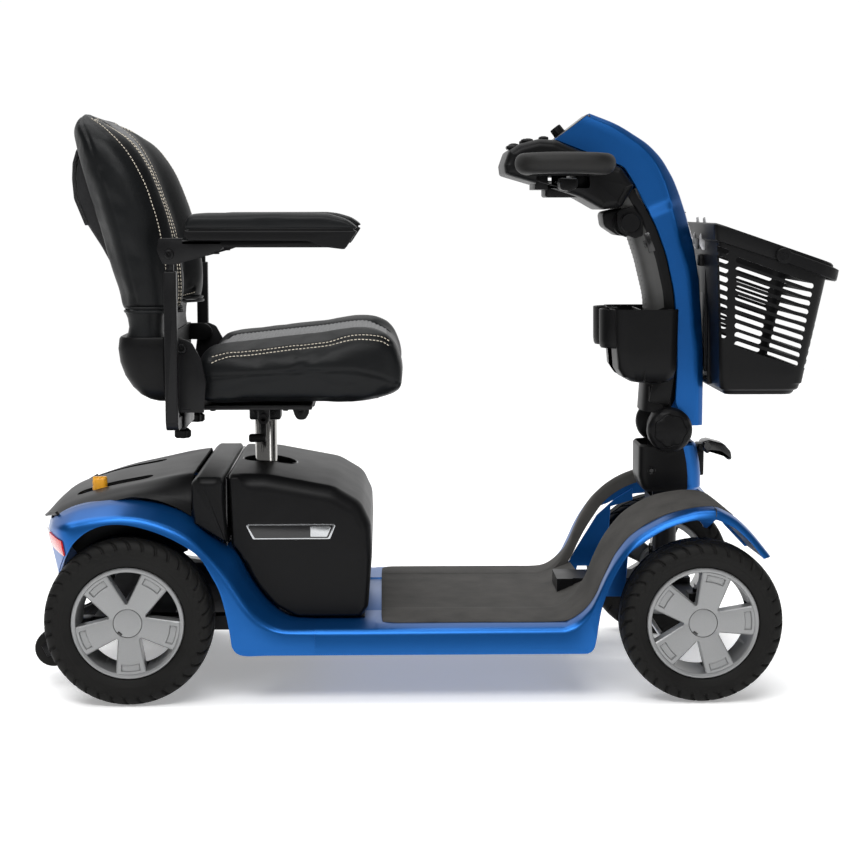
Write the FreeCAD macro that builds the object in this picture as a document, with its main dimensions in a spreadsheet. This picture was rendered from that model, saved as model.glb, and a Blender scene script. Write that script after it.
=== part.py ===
import FreeCAD, Part
import math
import os

# Mobility scooter.  Millimetres.  +X is forward, +Z is up, the floor is z = 0.
# Lengths along X are counted from the design datum, then every piece is moved by
# frame_shift so that the origin lies under the middle of the whole scooter.

Vector = FreeCAD.Vector
Placement = FreeCAD.Placement
Rotation = FreeCAD.Rotation

doc = FreeCAD.newDocument("mobility_scooter")
sizes = doc.addObject("Spreadsheet::Sheet", "sizes")

DRIVING_SIZES = [
    ("frame_shift", 9.1),
    ("front_axle_x", 428), ("wheelbase", 928), ("track", 484),
    ("front_tyre_dia", 264), ("rear_tyre_dia", 273), ("tyre_width", 88),
    ("rim_dia", 182), ("window_count", 5),
    ("stub_dia", 16), ("axle_dia", 20), ("shaft_dia", 24), ("running_gap", 0.05),
    ("kingpin_spacing", 430), ("steering_x", 405), ("steering_arm", 50),
    ("hinge_x", 396), ("hinge_z", 422), ("hinge_knob_dia", 78), ("hinge_knob_span", 184),
    ("deck_width", 550), ("deck_top", 123), ("deck_bottom", 81), ("mat_width", 476),
    ("arch_gap", 276), ("skin", 5),
    ("shroud_width", 550), ("pod_width", 430), ("mid_width", 470),
    ("post_x", -292), ("post_dia", 38), ("tower_dia", 50),
    ("seat_width", 450), ("back_width", 464), ("arm_spacing", 530), ("arm_pad_width", 50),
    ("arm_tube", 20), ("recline_x", -412), ("recline_z", 575), ("arm_pivot_x", -424),
    ("arm_pivot_z", 727),
    ("tiller_width", 116), ("console_width", 180), ("glove_width", 184),
    ("grip_dia", 35), ("grip_span", 464), ("grip_z", 870),
    ("tip_wheel_dia", 62), ("tip_wheel_width", 20), ("tip_wheel_spacing", 220),
]
for row, (alias, value) in enumerate(DRIVING_SIZES, start=1):
    sizes.set(f"A{row}", alias)
    sizes.set(f"B{row}", str(value))
    sizes.setAlias(f"B{row}", alias)
doc.recompute()


def size(alias):
    return float(sizes.get(alias))


SHIFT = size("frame_shift")
FRONT_X = size("front_axle_x")
REAR_X = FRONT_X - size("wheelbase")
FRONT_Z = size("front_tyre_dia") / 2
REAR_Z = size("rear_tyre_dia") / 2
WHEEL_Y = size("track") / 2
KINGPIN_Y = size("kingpin_spacing") / 2
GAP = size("running_gap")
SKIN = size("skin")
nodes = []


# ---------------------------------------------------------------- small helpers

def node(thing, label):
    """Name a finished sub-part and put it on the list of files."""
    thing.Label = label
    nodes.append(thing)
    return thing


def at(x, y, z, rotation=Rotation()):
    return Placement(Vector(x + SHIFT, y, z), rotation)


ALONG_Y = Rotation(Vector(1, 0, 0), -90)
ALONG_X = Rotation(Vector(0, 1, 0), 90)
TURNED = Rotation(Vector(0, 0, 1), 180)


def bind(thing, **properties):
    """Numbers are set, texts are expressions on the sheet."""
    for name, value in properties.items():
        if isinstance(value, str):
            thing.setExpression(name, value)
        else:
            setattr(thing, name, value)
    return thing


def box(x, y, z):
    """A block between two values on each axis."""
    solid = doc.addObject("Part::Box", "block")
    bind(solid, Length=x[1] - x[0], Width=y[1] - y[0], Height=z[1] - z[0])
    solid.Placement = at(x[0], y[0], z[0])
    return solid


def side_box(side, x, y, z):
    """A block on one side, its y given as distances from the middle plane."""
    return box(x, sorted((side * y[0], side * y[1])), z)


def rod(x, y, z, radius, height, rotation=Rotation()):
    solid = doc.addObject("Part::Cylinder", "rod")
    bind(solid, Radius=radius, Height=height)
    solid.Placement = at(x, y, z, rotation)
    return solid


def rod_along_y(x, y, z, radius):
    """A round bar from y[0] to y[1]."""
    return rod(x, min(y), z, radius, abs(y[1] - y[0]), ALONG_Y)


def fuse(*solids):
    joined = doc.addObject("Part::MultiFuse", "joined")
    joined.Shapes = list(solids)
    return joined


def cut(base, *tools):
    result = doc.addObject("Part::Cut", "cut")
    result.Base = base
    result.Tool = tools[0] if len(tools) == 1 else fuse(*tools)
    return result


def group(*solids):
    compound = doc.addObject("Part::Compound", "group")
    compound.Links = list(solids)
    return compound


def rounded(outline, closed=True):
    """Edges of an outline whose corners (u, v, radius) become tangent arcs."""
    count = len(outline)
    starts, ends, arcs = [], [], []
    for index, corner in enumerate(outline):
        here = Vector(corner[0], corner[1], 0)
        before = Vector(*outline[index - 1][:2], 0) - here
        after = Vector(*outline[(index + 1) % count][:2], 0) - here
        radius = corner[2] if len(corner) > 2 else 0
        if not closed and index in (0, count - 1):
            radius = 0
        turn = math.pi - before.getAngle(after)
        reach = radius * math.tan(turn / 2)
        reach = min(reach, 0.48 * before.Length, 0.48 * after.Length)
        if reach < 0.01:
            ends.append(here)
            starts.append(here)
            arcs.append(None)
            continue
        first = here + before.normalize() * reach
        last = here + after.normalize() * reach
        radius = reach / math.tan(turn / 2)
        inward = ((first + last) * 0.5 - here).normalize()
        middle = here + inward * (radius / math.cos(turn / 2) - radius)
        ends.append(first)
        starts.append(last)
        arcs.append(Part.Arc(first, middle, last))
    edges = []
    for index in range(count):
        if arcs[index]:
            edges.append(arcs[index])
        following = (index + 1) % count
        if following == 0 and not closed:
            break
        if (ends[following] - starts[index]).Length > 0.01:
            edges.append(Part.LineSegment(starts[index], ends[following]))
    return edges


def circle(x, z, radius):
    return [Part.Circle(Vector(x, z, 0), Vector(0, 0, 1), radius)]


def offset_line(points, distance):
    """An open line moved sideways: positive is to the left of its direction."""
    moved = []
    for index, point in enumerate(points):
        before = points[max(index - 1, 0)]
        after = points[min(index + 1, len(points) - 1)]
        along = Vector(after[0] - before[0], after[1] - before[1], 0).normalize()
        moved.append((point[0] - along.y * distance, point[1] + along.x * distance)
                     + tuple(point[2:]))
    return moved


def ribbon(points, thickness):
    """A closed strip between a line and the same line moved to its left."""
    return list(points) + offset_line(points, thickness)[::-1]


def new_body(label):
    body = doc.addObject("PartDesign::Body", label)
    body.Placement = at(0, 0, 0)
    return node(body, label)


def plane(body, role):
    for feature in body.Origin.OriginFeatures:
        if feature.Role == role:
            return feature
    raise ValueError(role)


def sketch_on(body, role, outline, lift=0.0):
    sketch = body.newObject("Sketcher::SketchObject", "outline")
    sketch.AttachmentSupport = [(plane(body, role), "")]
    sketch.MapMode = "FlatFace"
    sketch.AttachmentOffset = Placement(Vector(0, 0, lift), Rotation())
    is_circle = isinstance(outline[0], Part.Circle)
    sketch.addGeometry(outline if is_circle else rounded(outline), False)
    return sketch


def pad(body, outline, length, role="XZ_Plane", lift=0.0, symmetric=True):
    """Material: symmetric about the plane, or from the lifted plane along its normal."""
    feature = body.newObject("PartDesign::Pad", "pad")
    feature.Profile = sketch_on(body, role, outline, lift)
    feature.SideType = "Symmetric" if symmetric else "One side"
    return bind(feature, Length=length)


def pocket(body, outline, length, role="XZ_Plane", lift=0.0, symmetric=True):
    """A recess: symmetric, or from the lifted plane against its normal."""
    doc.recompute()
    before = body.Shape.Volume
    feature = body.newObject("PartDesign::Pocket", "pocket")
    feature.Profile = sketch_on(body, role, outline, lift)
    feature.SideType = "Symmetric" if symmetric else "One side"
    bind(feature, Length=length)
    doc.recompute()
    if body.Shape.Volume > before - 1:
        raise ValueError(f"{body.Label}: a pocket cut nothing")
    return feature


def revolve(body, outline, role="XY_Plane", axis="V_Axis"):
    feature = body.newObject("PartDesign::Revolution", "turned")
    feature.Profile = sketch_on(body, role, outline)
    feature.ReferenceAxis = (feature.Profile[0], [axis])
    return bind(feature, Angle=360)


def round_rims(body, radius, reach):
    """Fillet the edges of the two side faces that lie `reach` from the middle plane."""
    doc.recompute()
    names = []
    for number, edge in enumerate(body.Shape.Edges, start=1):
        bounds = edge.BoundBox
        if bounds.YLength < 0.01 and abs(abs(bounds.YMin) - reach) < 0.01:
            names.append(f"Edge{number}")
    feature = body.newObject("PartDesign::Fillet", "soft_edges")
    feature.Base = (feature.BaseFeature, names)
    return bind(feature, Radius=radius)


# ---------------------------------------------------------------- wheels

def tyre(label, diameter, x, side, z):
    """A tyre section turned about the axle, outer face away from the scooter."""
    outer = size(diameter) / 2
    seat = size("rim_dia") / 2
    half = size("tyre_width") / 2
    flank = [(seat, half - 12), (seat + 8, half - 3, 5), (seat + 22, half, 14),
             (outer - 14, half, 10), (outer - 3, half - 12, 8), (outer, half - 26, 20)]
    mirrored = [(point[0], -point[1]) + tuple(point[2:]) for point in flank[::-1]]
    body = new_body(label)
    revolve(body, flank + mirrored)
    body.Placement = at(x, side * WHEEL_Y, z)


def rim(label, x, side, z, first_spoke, live_axle):
    """Barrel, five-spoke disc and hub; a driven rim carries its own axle shaft."""
    seat = size("rim_dia") / 2
    barrel_half = 32
    barrel_wall = 5
    hub_radius = 26
    hub_end = 30
    hub_root = 6
    disc = (14, 22)
    inner = seat - barrel_wall
    bore = size("stub_dia") / 2 + GAP
    outline = [(hub_radius, -hub_end), (hub_radius, -disc[1]), (inner, -disc[1]),
               (inner, -barrel_half), (seat, -barrel_half), (seat, barrel_half),
               (inner, barrel_half), (inner, -disc[0]), (hub_radius, -disc[0]),
               (hub_radius, hub_root)]
    if live_axle:
        shaft = size("axle_dia") / 2
        outline += [(shaft, hub_root), (shaft, 180), (0, 180), (0, -hub_end)]
    else:
        outline += [(bore, hub_root), (bore, -hub_end)]
    body = new_body(label)
    revolve(body, outline)
    centre = math.radians(first_spoke + 180 / size("window_count"))
    corners = ((36, 0, 5), (78, -0.37, 9), (78, 0.37, 9))
    window = [(radius * math.cos(centre + turn), radius * math.sin(centre + turn), corner)
              for radius, turn, corner in corners]
    opening = pocket(body, window, 100)
    pattern = body.newObject("PartDesign::PolarPattern", "spokes")
    pattern.Originals = [opening]
    pattern.Axis = (opening.Profile[0], ["N_Axis"])
    bind(pattern, Angle=360, Occurrences="sizes.window_count")
    body.Tip = pattern
    body.Placement = at(x, side * WHEEL_Y, z, TURNED if side > 0 else Rotation())


for side_name, side in (("left", 1), ("right", -1)):
    tyre(f"front_tyre_{side_name}", "front_tyre_dia", FRONT_X, side, FRONT_Z)
    rim(f"front_rim_{side_name}", FRONT_X, side, FRONT_Z, 3, False)
    tyre(f"rear_tyre_{side_name}", "rear_tyre_dia", REAR_X, side, REAR_Z)
    rim(f"rear_rim_{side_name}", REAR_X, side, REAR_Z, 57, True)


# ---------------------------------------------------------------- steering

KNUCKLE_LOW = (94, 101.7)
KNUCKLE_HIGH = (164.3, 172)
BALL_PIN = 5
ARM = size("steering_arm")
COLUMN_X = size("steering_x")


def knuckle(label, side):
    """C-shaped knuckle: kingpin, two plates, stub axle, steering arm and ball pin."""
    reach = (KINGPIN_Y - 13, KINGPIN_Y + 19)
    span = (FRONT_X - 17, FRONT_X + 17)
    pin = rod(FRONT_X, side * KINGPIN_Y, 90, 8, 88)
    low = side_box(side, span, reach, KNUCKLE_LOW)
    high = side_box(side, span, reach, KNUCKLE_HIGH)
    back = side_box(side, span, (KINGPIN_Y + 14, KINGPIN_Y + 19), (94, 172))
    stub = rod_along_y(FRONT_X, (side * (KINGPIN_Y + 14), side * (WHEEL_Y + 29)), FRONT_Z,
                       "sizes.stub_dia / 2")
    arm = side_box(side, (FRONT_X - ARM - 9, FRONT_X - 10), (KINGPIN_Y - 8, KINGPIN_Y + 8),
                   KNUCKLE_LOW)
    ball = rod(FRONT_X - ARM, side * KINGPIN_Y, 78, BALL_PIN, 20)
    node(fuse(pin, low, high, back, stub, arm, ball), label)


def track_rod():
    """One bar joins both knuckle arms and the column's arm, which all swing alike."""
    x = FRONT_X - ARM
    levels = (80, 90)
    solids = [rod_along_y(x, (-KINGPIN_Y + 8, KINGPIN_Y - 8), 85, 4)]
    solids += [rod(x, side * KINGPIN_Y, levels[0], 11, 10) for side in (1, -1)]
    solids.append(box((COLUMN_X - ARM - 11, x), (-11, 11), levels))
    holes = [rod(x, -KINGPIN_Y, 70, BALL_PIN + GAP, 30),
             rod(x, KINGPIN_Y, 70, BALL_PIN + 0.6, 30),
             rod(COLUMN_X - ARM, 0, 70, BALL_PIN + 0.6, 30)]
    node(cut(fuse(*solids), *holes), "track_rod")


def steering_shaft():
    """Shaft in the head tube, arm below, and a fork above for the tiller hinge."""
    hinge_x = size("hinge_x")
    hinge_z = size("hinge_z")
    shaft = rod(COLUMN_X, 0, 104, "sizes.shaft_dia / 2", 190)
    arm = box((COLUMN_X - ARM - 9, COLUMN_X), (-9, 9), (104, 112))
    ball = rod(COLUMN_X - ARM, 0, 78, BALL_PIN, 30)
    crown = box((374, 432), (-36, 36), (286, 304))
    solids = [shaft, arm, ball, crown]
    for side in (1, -1):
        solids.append(side_box(side, (378, 426), (28, 36), (300, hinge_z)))
        solids.append(rod_along_y(hinge_x, (side * 28, side * 36), hinge_z, 20))
    pin_hole = rod_along_y(hinge_x, (-50, 50), hinge_z, 8 + GAP)
    node(cut(fuse(*solids), pin_hole), "steering_shaft")


def lower_shroud():
    """Moulded cover round the fork, open above and below."""
    outer = [(355, 391, 4), (354, 343, 10), (359, 316, 8), (372, 309, 6), (430, 319, 6),
             (466, 326, 10), (467, 352, 10), (460, 398, 6), (430, 400), (416, 372, 24),
             (384, 372, 24), (374, 394)]
    inner = [(359, 420), (358, 343, 8), (362, 300), (458, 300), (463, 330, 8), (462, 350, 8),
             (455, 420)]
    body = new_body("lower_shroud")
    pad(body, outer, 104)
    pocket(body, inner, 94)


for side_name, side in (("left", 1), ("right", -1)):
    knuckle(f"knuckle_{side_name}", side)
track_rod()
steering_shaft()
lower_shroud()


# ---------------------------------------------------------------- frames and drive

RAIL = (80, 110)
RAIL_LOW = 88


def front_frame():
    """Deck rails, riser, nose beam, cross tube, kingpin tubes and head tube."""
    solids = [side_box(side, (-119.5, 240), RAIL, (RAIL_LOW, 117.5)) for side in (1, -1)]
    solids.append(box((212, 240), (-110, 110), (RAIL_LOW, 117.5)))
    solids.append(box((212, 240), (-45, 45), (RAIL_LOW, 160)))
    solids.append(box((212, 445), (-40, 40), (125, 160)))
    solids.append(box((FRONT_X - 15, FRONT_X + 15), (-KINGPIN_Y + 8, KINGPIN_Y - 8),
                      (118, 150)))
    solids.append(rod(COLUMN_X, 0, 125, 20, 160))
    holes = [rod(COLUMN_X, 0, 100, "sizes.shaft_dia / 2 + sizes.running_gap", 200)]
    for side in (1, -1):
        solids.append(rod(FRONT_X, side * KINGPIN_Y, 102, 13, 62))
        holes.append(rod(FRONT_X, side * KINGPIN_Y, 80, 8 + GAP, 100))
    node(cut(fuse(*solids), *holes), "front_frame")


def rear_frame():
    """Drive-section rails, cross members, battery tray and the seat tower."""
    post_x = size("post_x")
    solids = [side_box(side, (-580, -120), RAIL, (RAIL_LOW, 112)) for side in (1, -1)]
    for x in ((-580, -565), (post_x - 33, post_x + 33), (-150, -120)):
        solids.append(box(x, (-110, 110), (RAIL_LOW, 112)))
    solids.append(box((post_x + 22, -120), (-200, 200), (124, 130)))
    solids.append(box((post_x + 30, -206), (-60, 60), (105, 128)))
    solids.append(rod(post_x, 0, 100, "sizes.tower_dia / 2", 256))
    bore = rod(post_x, 0, 140, "sizes.post_dia / 2 + sizes.running_gap", 300)
    node(cut(fuse(*solids), bore), "rear_frame")


def drive():
    """Transaxle with its two axle tubes, and the motor in front of it."""
    tube = rod_along_y(REAR_X, (-205, 205), REAR_Z, 24)
    case = rod_along_y(REAR_X, (-56, 56), REAR_Z, 60)
    nose = rod(REAR_X, 0, REAR_Z, 40, 74, ALONG_X)
    bore = rod_along_y(REAR_X, (-220, 220), REAR_Z, "sizes.axle_dia / 2 + sizes.running_gap")
    node(cut(fuse(tube, case, nose), bore), "transaxle")
    motor = rod(REAR_X + 74, 0, REAR_Z, 46, 78, ALONG_X)
    brake = rod(REAR_X + 152, 0, REAR_Z, 30, 18, ALONG_X)
    node(fuse(motor, brake), "drive_motor")


def batteries():
    for side_name, side in (("left", 1), ("right", -1)):
        case = side_box(side, (-262, -132), (6, 196), (130, 300))
        lid = side_box(side, (-259, -135), (9, 193), (300, 306))
        posts = [side_box(side, (-250 + step, -236 + step), (20, 34), (306, 314))
                 for step in (0, 96)]
        node(fuse(case, lid, *posts), f"battery_{side_name}")


TIP_X = -648
TIP_Z = 59


def anti_tip():
    """A forked arm behind each rail with a small roller between its cheeks."""
    reach = size("tip_wheel_spacing") / 2
    solids = []
    for side in (1, -1):
        solids.append(side_box(side, (-600, -580), (reach - 18, reach + 18), (88, 112)))
        for cheek in (-15, 15):
            arm = doc.addObject("Part::Box", "arm")
            bind(arm, Length=78, Width=5, Height=22)
            tilt = Rotation(Vector(0, 1, 0), -26)
            arm.Placement = at(TIP_X - 9, side * (reach + cheek) - 2.5, TIP_Z - 13, tilt)
            solids.append(arm)
        solids.append(rod_along_y(TIP_X, (side * (reach - 19), side * (reach + 19)), TIP_Z, 5))
    node(fuse(*solids), "anti_tip_bracket")
    half = size("tip_wheel_width") / 2
    outer = size("tip_wheel_dia") / 2
    outline = [(5 + GAP, -half), (outer, -half, 6), (outer, half, 6), (5 + GAP, half)]
    for side_name, side in (("left", 1), ("right", -1)):
        body = new_body(f"anti_tip_wheel_{side_name}")
        revolve(body, outline)
        body.Placement = at(TIP_X, side * reach, TIP_Z)


front_frame()
rear_frame()
drive()
batteries()
anti_tip()


# ---------------------------------------------------------------- body panels

ARCH_TOP = [(223, 123), (242, 146), (262, 186, 60), (301, 250, 60), (334, 280, 60),
            (366, 300, 80), (416, 316, 60), (450, 318, 40), (480, 303, 40), (508, 273, 60),
            (538, 238)]
ARCH_UNDER = [(524, 236), (503, 263, 60), (476, 287, 40), (448, 300, 40), (416, 300, 60),
              (368, 286, 80), (335, 266, 60), (302, 241, 60), (277, 194, 60), (264, 161, 60),
              (258, 120)]


def floor_pan():
    """Deck tray with two arched arms that run up over the front wheels."""
    joint_x = -200
    low = size("deck_bottom")
    top = size("deck_top")
    side_view = [(joint_x, low), (244, low, 14), (256, 92, 8), (258, 120), (245, top),
                 (joint_x, top)]
    body = new_body("floor_pan")
    pad(body, side_view, "sizes.deck_width")
    arm_width = (size("deck_width") - size("arch_gap")) / 2
    arm = ARCH_TOP + ARCH_UNDER + [(245, 112), (223, 112)]
    wall = ARCH_TOP[1:9] + offset_line(ARCH_TOP[1:9], -46)[::-1]
    panel = [(247, 116), (258, 116), (266, 148), (318, 148), (326, 258), (366, 270),
             (366, 292), (334, 272), (301, 242), (262, 178), (247, 150)]
    for side in (1, -1):
        inner = side * size("arch_gap") / 2
        outer = side * size("deck_width") / 2
        pad(body, arm, arm_width, lift=-max(inner, outer), symmetric=False)
        pad(body, wall, 8, lift=-max(inner, inner - side * 8), symmetric=False)
        pad(body, panel, 4, lift=-max(inner + side * 0.5, inner - side * 3.5), symmetric=False)
    inside = [(joint_x - 20, low - 10), (249, low - 10), (251, 112), (244, top - SKIN),
              (joint_x - 20, top - SKIN)]
    pocket(body, inside, "sizes.deck_width - 2 * sizes.skin")
    notch = [(200, 60), (270, 60), (270, 170), (200, 170)]
    pocket(body, notch, 120)


def floor_mat():
    """Rubber mat on the deck and on both arms."""
    deck = [(-95, 123), (-95, 132, 6), (203, 132), (206, 123)]
    body = new_body("floor_mat")
    pad(body, deck, "sizes.mat_width")
    climb = [(190, 123)] + [point for point in ARCH_TOP[:9]]
    strip = ribbon(climb, 13)
    width = (size("mat_width") - size("arch_gap")) / 2
    for side in (1, -1):
        inner = side * size("arch_gap") / 2
        outer = side * size("mat_width") / 2
        pad(body, strip, width, lift=-max(inner, outer), symmetric=False)


SHROUD_LINE = [(-674, 262, 30), (-662, 296, 30), (-626, 312, 60), (-584, 323, 90),
               (-527, 331, 90), (-470, 328, 60), (-432, 319, 40), (-402, 304, 10), (-396, 291, 6),
               (-341, 252, 6), (-327, 236, 20), (-312, 204, 60), (-297, 181, 60),
               (-270, 149, 60), (-232, 130), (-200.5, 130)]
SHROUD_ARCH = [(-200.5, 81), (-321, 81, 14), (-334, 100, 30), (-342, 151, 120), (-353, 190, 120),
               (-372, 232, 60), (-394, 253, 60), (-427, 274, 120), (-465, 288, 90),
               (-502, 296, 90), (-540, 295, 60), (-566, 284, 40), (-585, 267, 40),
               (-593, 246, 20), (-614, 226, 30), (-641, 198, 30), (-658, 186, 10)]


def rear_shroud():
    """Painted band over the rear wheels, round the back and down to the deck."""
    body = new_body("rear_shroud")
    pad(body, SHROUD_LINE + SHROUD_ARCH, "sizes.shroud_width")
    hollow = offset_line(SHROUD_LINE[:14], -SKIN) + [(-230, 124), (-190, 124), (-190, 60),
                                                     (-400, 60), (-600, 170), (-669, 170)]
    pocket(body, hollow, "sizes.shroud_width - 2 * sizes.skin")
    clear = [(-626, 400), (-626, 150), (-400, 60), (-190, 60), (-190, 400)]
    pocket(body, clear, "sizes.pod_width + 3")


COVER_LINE = [(-661, 304), (-624, 320, 60), (-559, 332, 120), (-498, 342, 120),
              (-420, 357, 60), (-401, 360)]
INNER_SKIRT = [(-610, 320), (-559, 329.5), (-498, 339.5), (-420, 354), (-410, 356),
               (-410, 240), (-440, 228), (-585, 228), (-610, 262)]


def rear_cover():
    """Black top cover with a skirt inside each wheel and a slot on each side."""
    body = new_body("rear_cover")
    pad(body, ribbon(COVER_LINE, -SKIN), "sizes.pod_width - 1")
    for side in (1, -1):
        pad(body, INNER_SKIRT, 4, lift=-max(side * 190, side * 194), symmetric=False)
    for y in (100, -100):
        slot = [(-600, y - 13, 12), (-478, y - 13, 12), (-478, y + 13, 12),
                (-600, y + 13, 12)]
        pocket(body, slot, 400, role="XY_Plane", lift=400, symmetric=False)


def mid_cover():
    """Bridge between the rear cover and the battery pod."""
    outer = [(-394, 294), (-398, 358, 8), (-392, 366, 6), (-350, 366), (-347, 326),
             (-341, 256)]
    inner = [(-390, 200), (-393, 354, 6), (-389, 361, 4), (-340, 361), (-340, 200)]
    body = new_body("mid_cover")
    pad(body, outer, "sizes.mid_width")
    pocket(body, inner, "sizes.mid_width - 2 * sizes.skin")
    opening = [(-420, 330), (-420, 352), (-385, 352), (-385, 330)]
    pocket(body, opening, 380)


def battery_pod():
    """Black pod over the batteries, open below, with a hole for the seat post."""
    outer = [(-343, 367, 8), (-279, 366, 60), (-168, 345, 60), (-124, 318, 34),
             (-109, 284, 34), (-107, 240, 200), (-114, 145, 20), (-125, 131),
             (-231, 131), (-269, 150, 60), (-296, 182, 60), (-311, 205, 60),
             (-326, 237, 20), (-338, 251), (-341, 326, 60)]
    inner = [(-360, 362), (-279, 361, 60), (-170, 340, 60), (-128, 314, 30),
             (-114, 282, 30), (-112, 240, 200), (-119, 148, 16), (-125, 120),
             (-231, 120), (-360, 200)]
    body = new_body("battery_pod")
    pad(body, outer, "sizes.pod_width")
    pocket(body, inner, "sizes.pod_width - 2 * sizes.skin")
    post_x = size("post_x")
    hole = [(post_x - 34, -34, 30), (post_x + 34, -34, 30), (post_x + 34, 34, 30),
            (post_x - 34, 34, 30)]
    pocket(body, hole, 60, role="XY_Plane", lift=410, symmetric=False)


def tail_lights():
    lens = [(-650, 282), (-604, 272, 6), (-610, 248, 6), (-645, 250)]
    thickness = 5
    solids = []
    for side in (1, -1):
        wire = Part.Wire([edge.toShape() for edge in rounded(lens)])
        face = Part.Face(wire)
        face.rotate(Vector(), Vector(1, 0, 0), 90)
        depth = side * thickness
        slab = face.extrude(Vector(0, depth, 0))
        slab.translate(Vector(0, side * size("shroud_width") / 2, 0))
        solids.append(slab)
    lights = doc.addObject("Part::Feature", "tail_lights")
    lights.Shape = Part.makeCompound(solids)
    lights.Placement = at(0, 0, 0)
    node(lights, "tail_lights")


def freewheel_lever():
    """Hand lever that disengages the drive, standing out of the cover's slot."""
    stem = side_box(-1, (-571, -561), (96, 104), (186, 330))
    grip = side_box(-1, (-577, -555), (89, 111), (330, 350))
    pivot = rod_along_y(-566, (-112, -88), 180, 10)
    node(fuse(stem, grip, pivot), "freewheel_lever")


floor_pan()
floor_mat()
rear_shroud()
rear_cover()
mid_cover()
battery_pod()
tail_lights()
freewheel_lever()


# ---------------------------------------------------------------- tiller

HINGE_X = size("hinge_x")
HINGE_Z = size("hinge_z")
THROTTLE_X = 214
THROTTLE_Z = (838, 846)
BUTTON = (157, 40)
NOSE = [(462, 436), (462, 513, 300), (458, 609, 400), (452, 682, 300), (443, 743),
        (425, 803), (406, 848, 90), (385, 883, 90), (360, 908, 90), (309, 940, 200),
        (261, 958, 6)]
SEAM = [(201, 912), (313, 867, 20), (336, 833, 60), (356, 801, 90), (374, 768, 120),
        (392, 721, 200), (406, 659, 200), (412, 590, 200), (413, 530, 200), (405, 467, 60),
        (408, 445)]
SPINE = [(357, 458), (361, 520, 300), (366, 600, 200), (363, 649, 120), (347, 713, 200),
         (331, 760, 120), (318, 790)]


def tiller_frame():
    """Steel mast with the hinge barrel and its pin at the foot."""
    mast = [(396, 424), (432, 500, 60), (433, 610, 400), (422, 690, 300), (400, 770, 200),
            (366, 842)]
    body = new_body("tiller_frame")
    pad(body, ribbon(mast, 22), 30)
    pad(body, circle(HINGE_X, HINGE_Z, 20), 55.4)
    pad(body, circle(HINGE_X, HINGE_Z, 8), 116)


def tiller_front_cover():
    """Painted front shell, open towards the mast."""
    body = new_body("tiller_front_cover")
    pad(body, NOSE + SEAM, "sizes.tiller_width")
    hollow = offset_line(NOSE, SKIN)
    inside = [(455, 420)] + hollow[1:10] + [(262, 951), (214, 914), (300, 872), (318, 840),
                                             (340, 805), (372, 721), (390, 640), (390, 420)]
    pocket(body, inside, "sizes.tiller_width - 2 * sizes.skin")


def tiller_rear_cover():
    """Black shell towards the rider, with the cross tube under the console."""
    body = new_body("tiller_rear_cover")
    face = SPINE + [(327, 822)] + offset_line(SEAM[2:], -0.4)
    pad(body, face + [(380, 450)], 104)
    hollow = offset_line(SPINE[:6], -SKIN)
    inside = hollow + [(334, 806), (420, 760), (440, 600), (440, 430), (364, 430)]
    pocket(body, inside, "104 - 2 * sizes.skin")


def hinge_knobs():
    half = size("hinge_knob_span") / 2
    solids = [rod_along_y(HINGE_X + 4, (side * 58, side * half), HINGE_Z + 1,
                          "sizes.hinge_knob_dia / 2") for side in (1, -1)]
    node(group(*solids), "hinge_knobs")


def glove_box():
    """Saddle-shaped tray round the mast with two cup holders towards the rider."""
    half = size("glove_width") / 2
    floor = 4
    base = box((308, 412), (-half, half), (502, 628))
    cups = [rod(311, side * 46, 560, 38, 68) for side in (1, -1)]
    hollows = [box((312, 352), (-half + floor, half - floor), (502 + floor, 640))]
    for side in (1, -1):
        hollows.append(side_box(side, (350, 408), (63, half - floor), (502 + floor, 640)))
        hollows.append(rod(311, side * 46, 564, 35, 80))
    hollows.append(box((356, 500), (-58.8, 58.8), (480, 640)))
    node(cut(fuse(base, *cups), *hollows), "glove_box")


def console():
    """Lower and upper console halves joined, under the painted crown."""
    outer = [(114, 871, 8), (116, 855, 6), (129, 851, 20), (184, 835, 90), (241, 818, 90),
             (288, 792, 12), (312, 800, 10), (331, 836), (310, 866, 12), (200, 911, 30),
             (173, 914, 20), (141, 906, 20), (122, 894, 10)]
    inner = [(120, 871, 5), (121, 860, 4), (184, 841, 80), (241, 824, 80), (288, 799, 8),
             (309, 804, 8), (324, 836), (306, 861, 8), (198, 905, 20), (173, 908, 16),
             (143, 901, 16)]
    body = new_body("console")
    pad(body, outer, "sizes.console_width")
    round_rims(body, 5, size("console_width") / 2)
    pocket(body, inner, "sizes.console_width - 2 * sizes.skin")
    slot = [(THROTTLE_X - 38, 834, 5), (THROTTLE_X + 38, 834, 5), (THROTTLE_X + 38, 850, 5),
            (THROTTLE_X - 38, 850, 5)]
    pocket(body, slot, 200)
    pocket(body, circle(*BUTTON, 9.6), 60, role="XY_Plane", lift=950, symmetric=False)


def handlebar():
    """Closed loop grip on each side of the console."""
    half = size("grip_span") / 2 - size("grip_dia") / 2
    root = size("console_width") / 2
    level = size("grip_z")
    radius = size("grip_dia") / 2
    loops = []
    for side in (1, -1):
        path = [(266, side * root), (266, side * (root + 30), 200),
                (274, side * (half - 6), 46), (214, side * (half + 2), 300),
                (140, side * (half - 6), 46), (148, side * (root + 30), 200),
                (148, side * root)]
        wire = Part.Wire([edge.toShape() for edge in rounded(path, closed=False)])
        start = wire.Edges[0]
        profile = Part.Wire([Part.makeCircle(radius, Vector(*path[0][:2], 0),
                                             start.tangentAt(start.FirstParameter))])
        sweep = Part.BRepOffsetAPI.MakePipeShell(wire)
        sweep.add(profile)
        sweep.build()
        sweep.makeSolid()
        loops.append(sweep.shape())
    grips = doc.addObject("Part::Feature", "handlebar")
    grips.Shape = Part.makeCompound(loops)
    grips.Placement = at(0, 0, level)
    node(grips, "handlebar")


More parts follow.
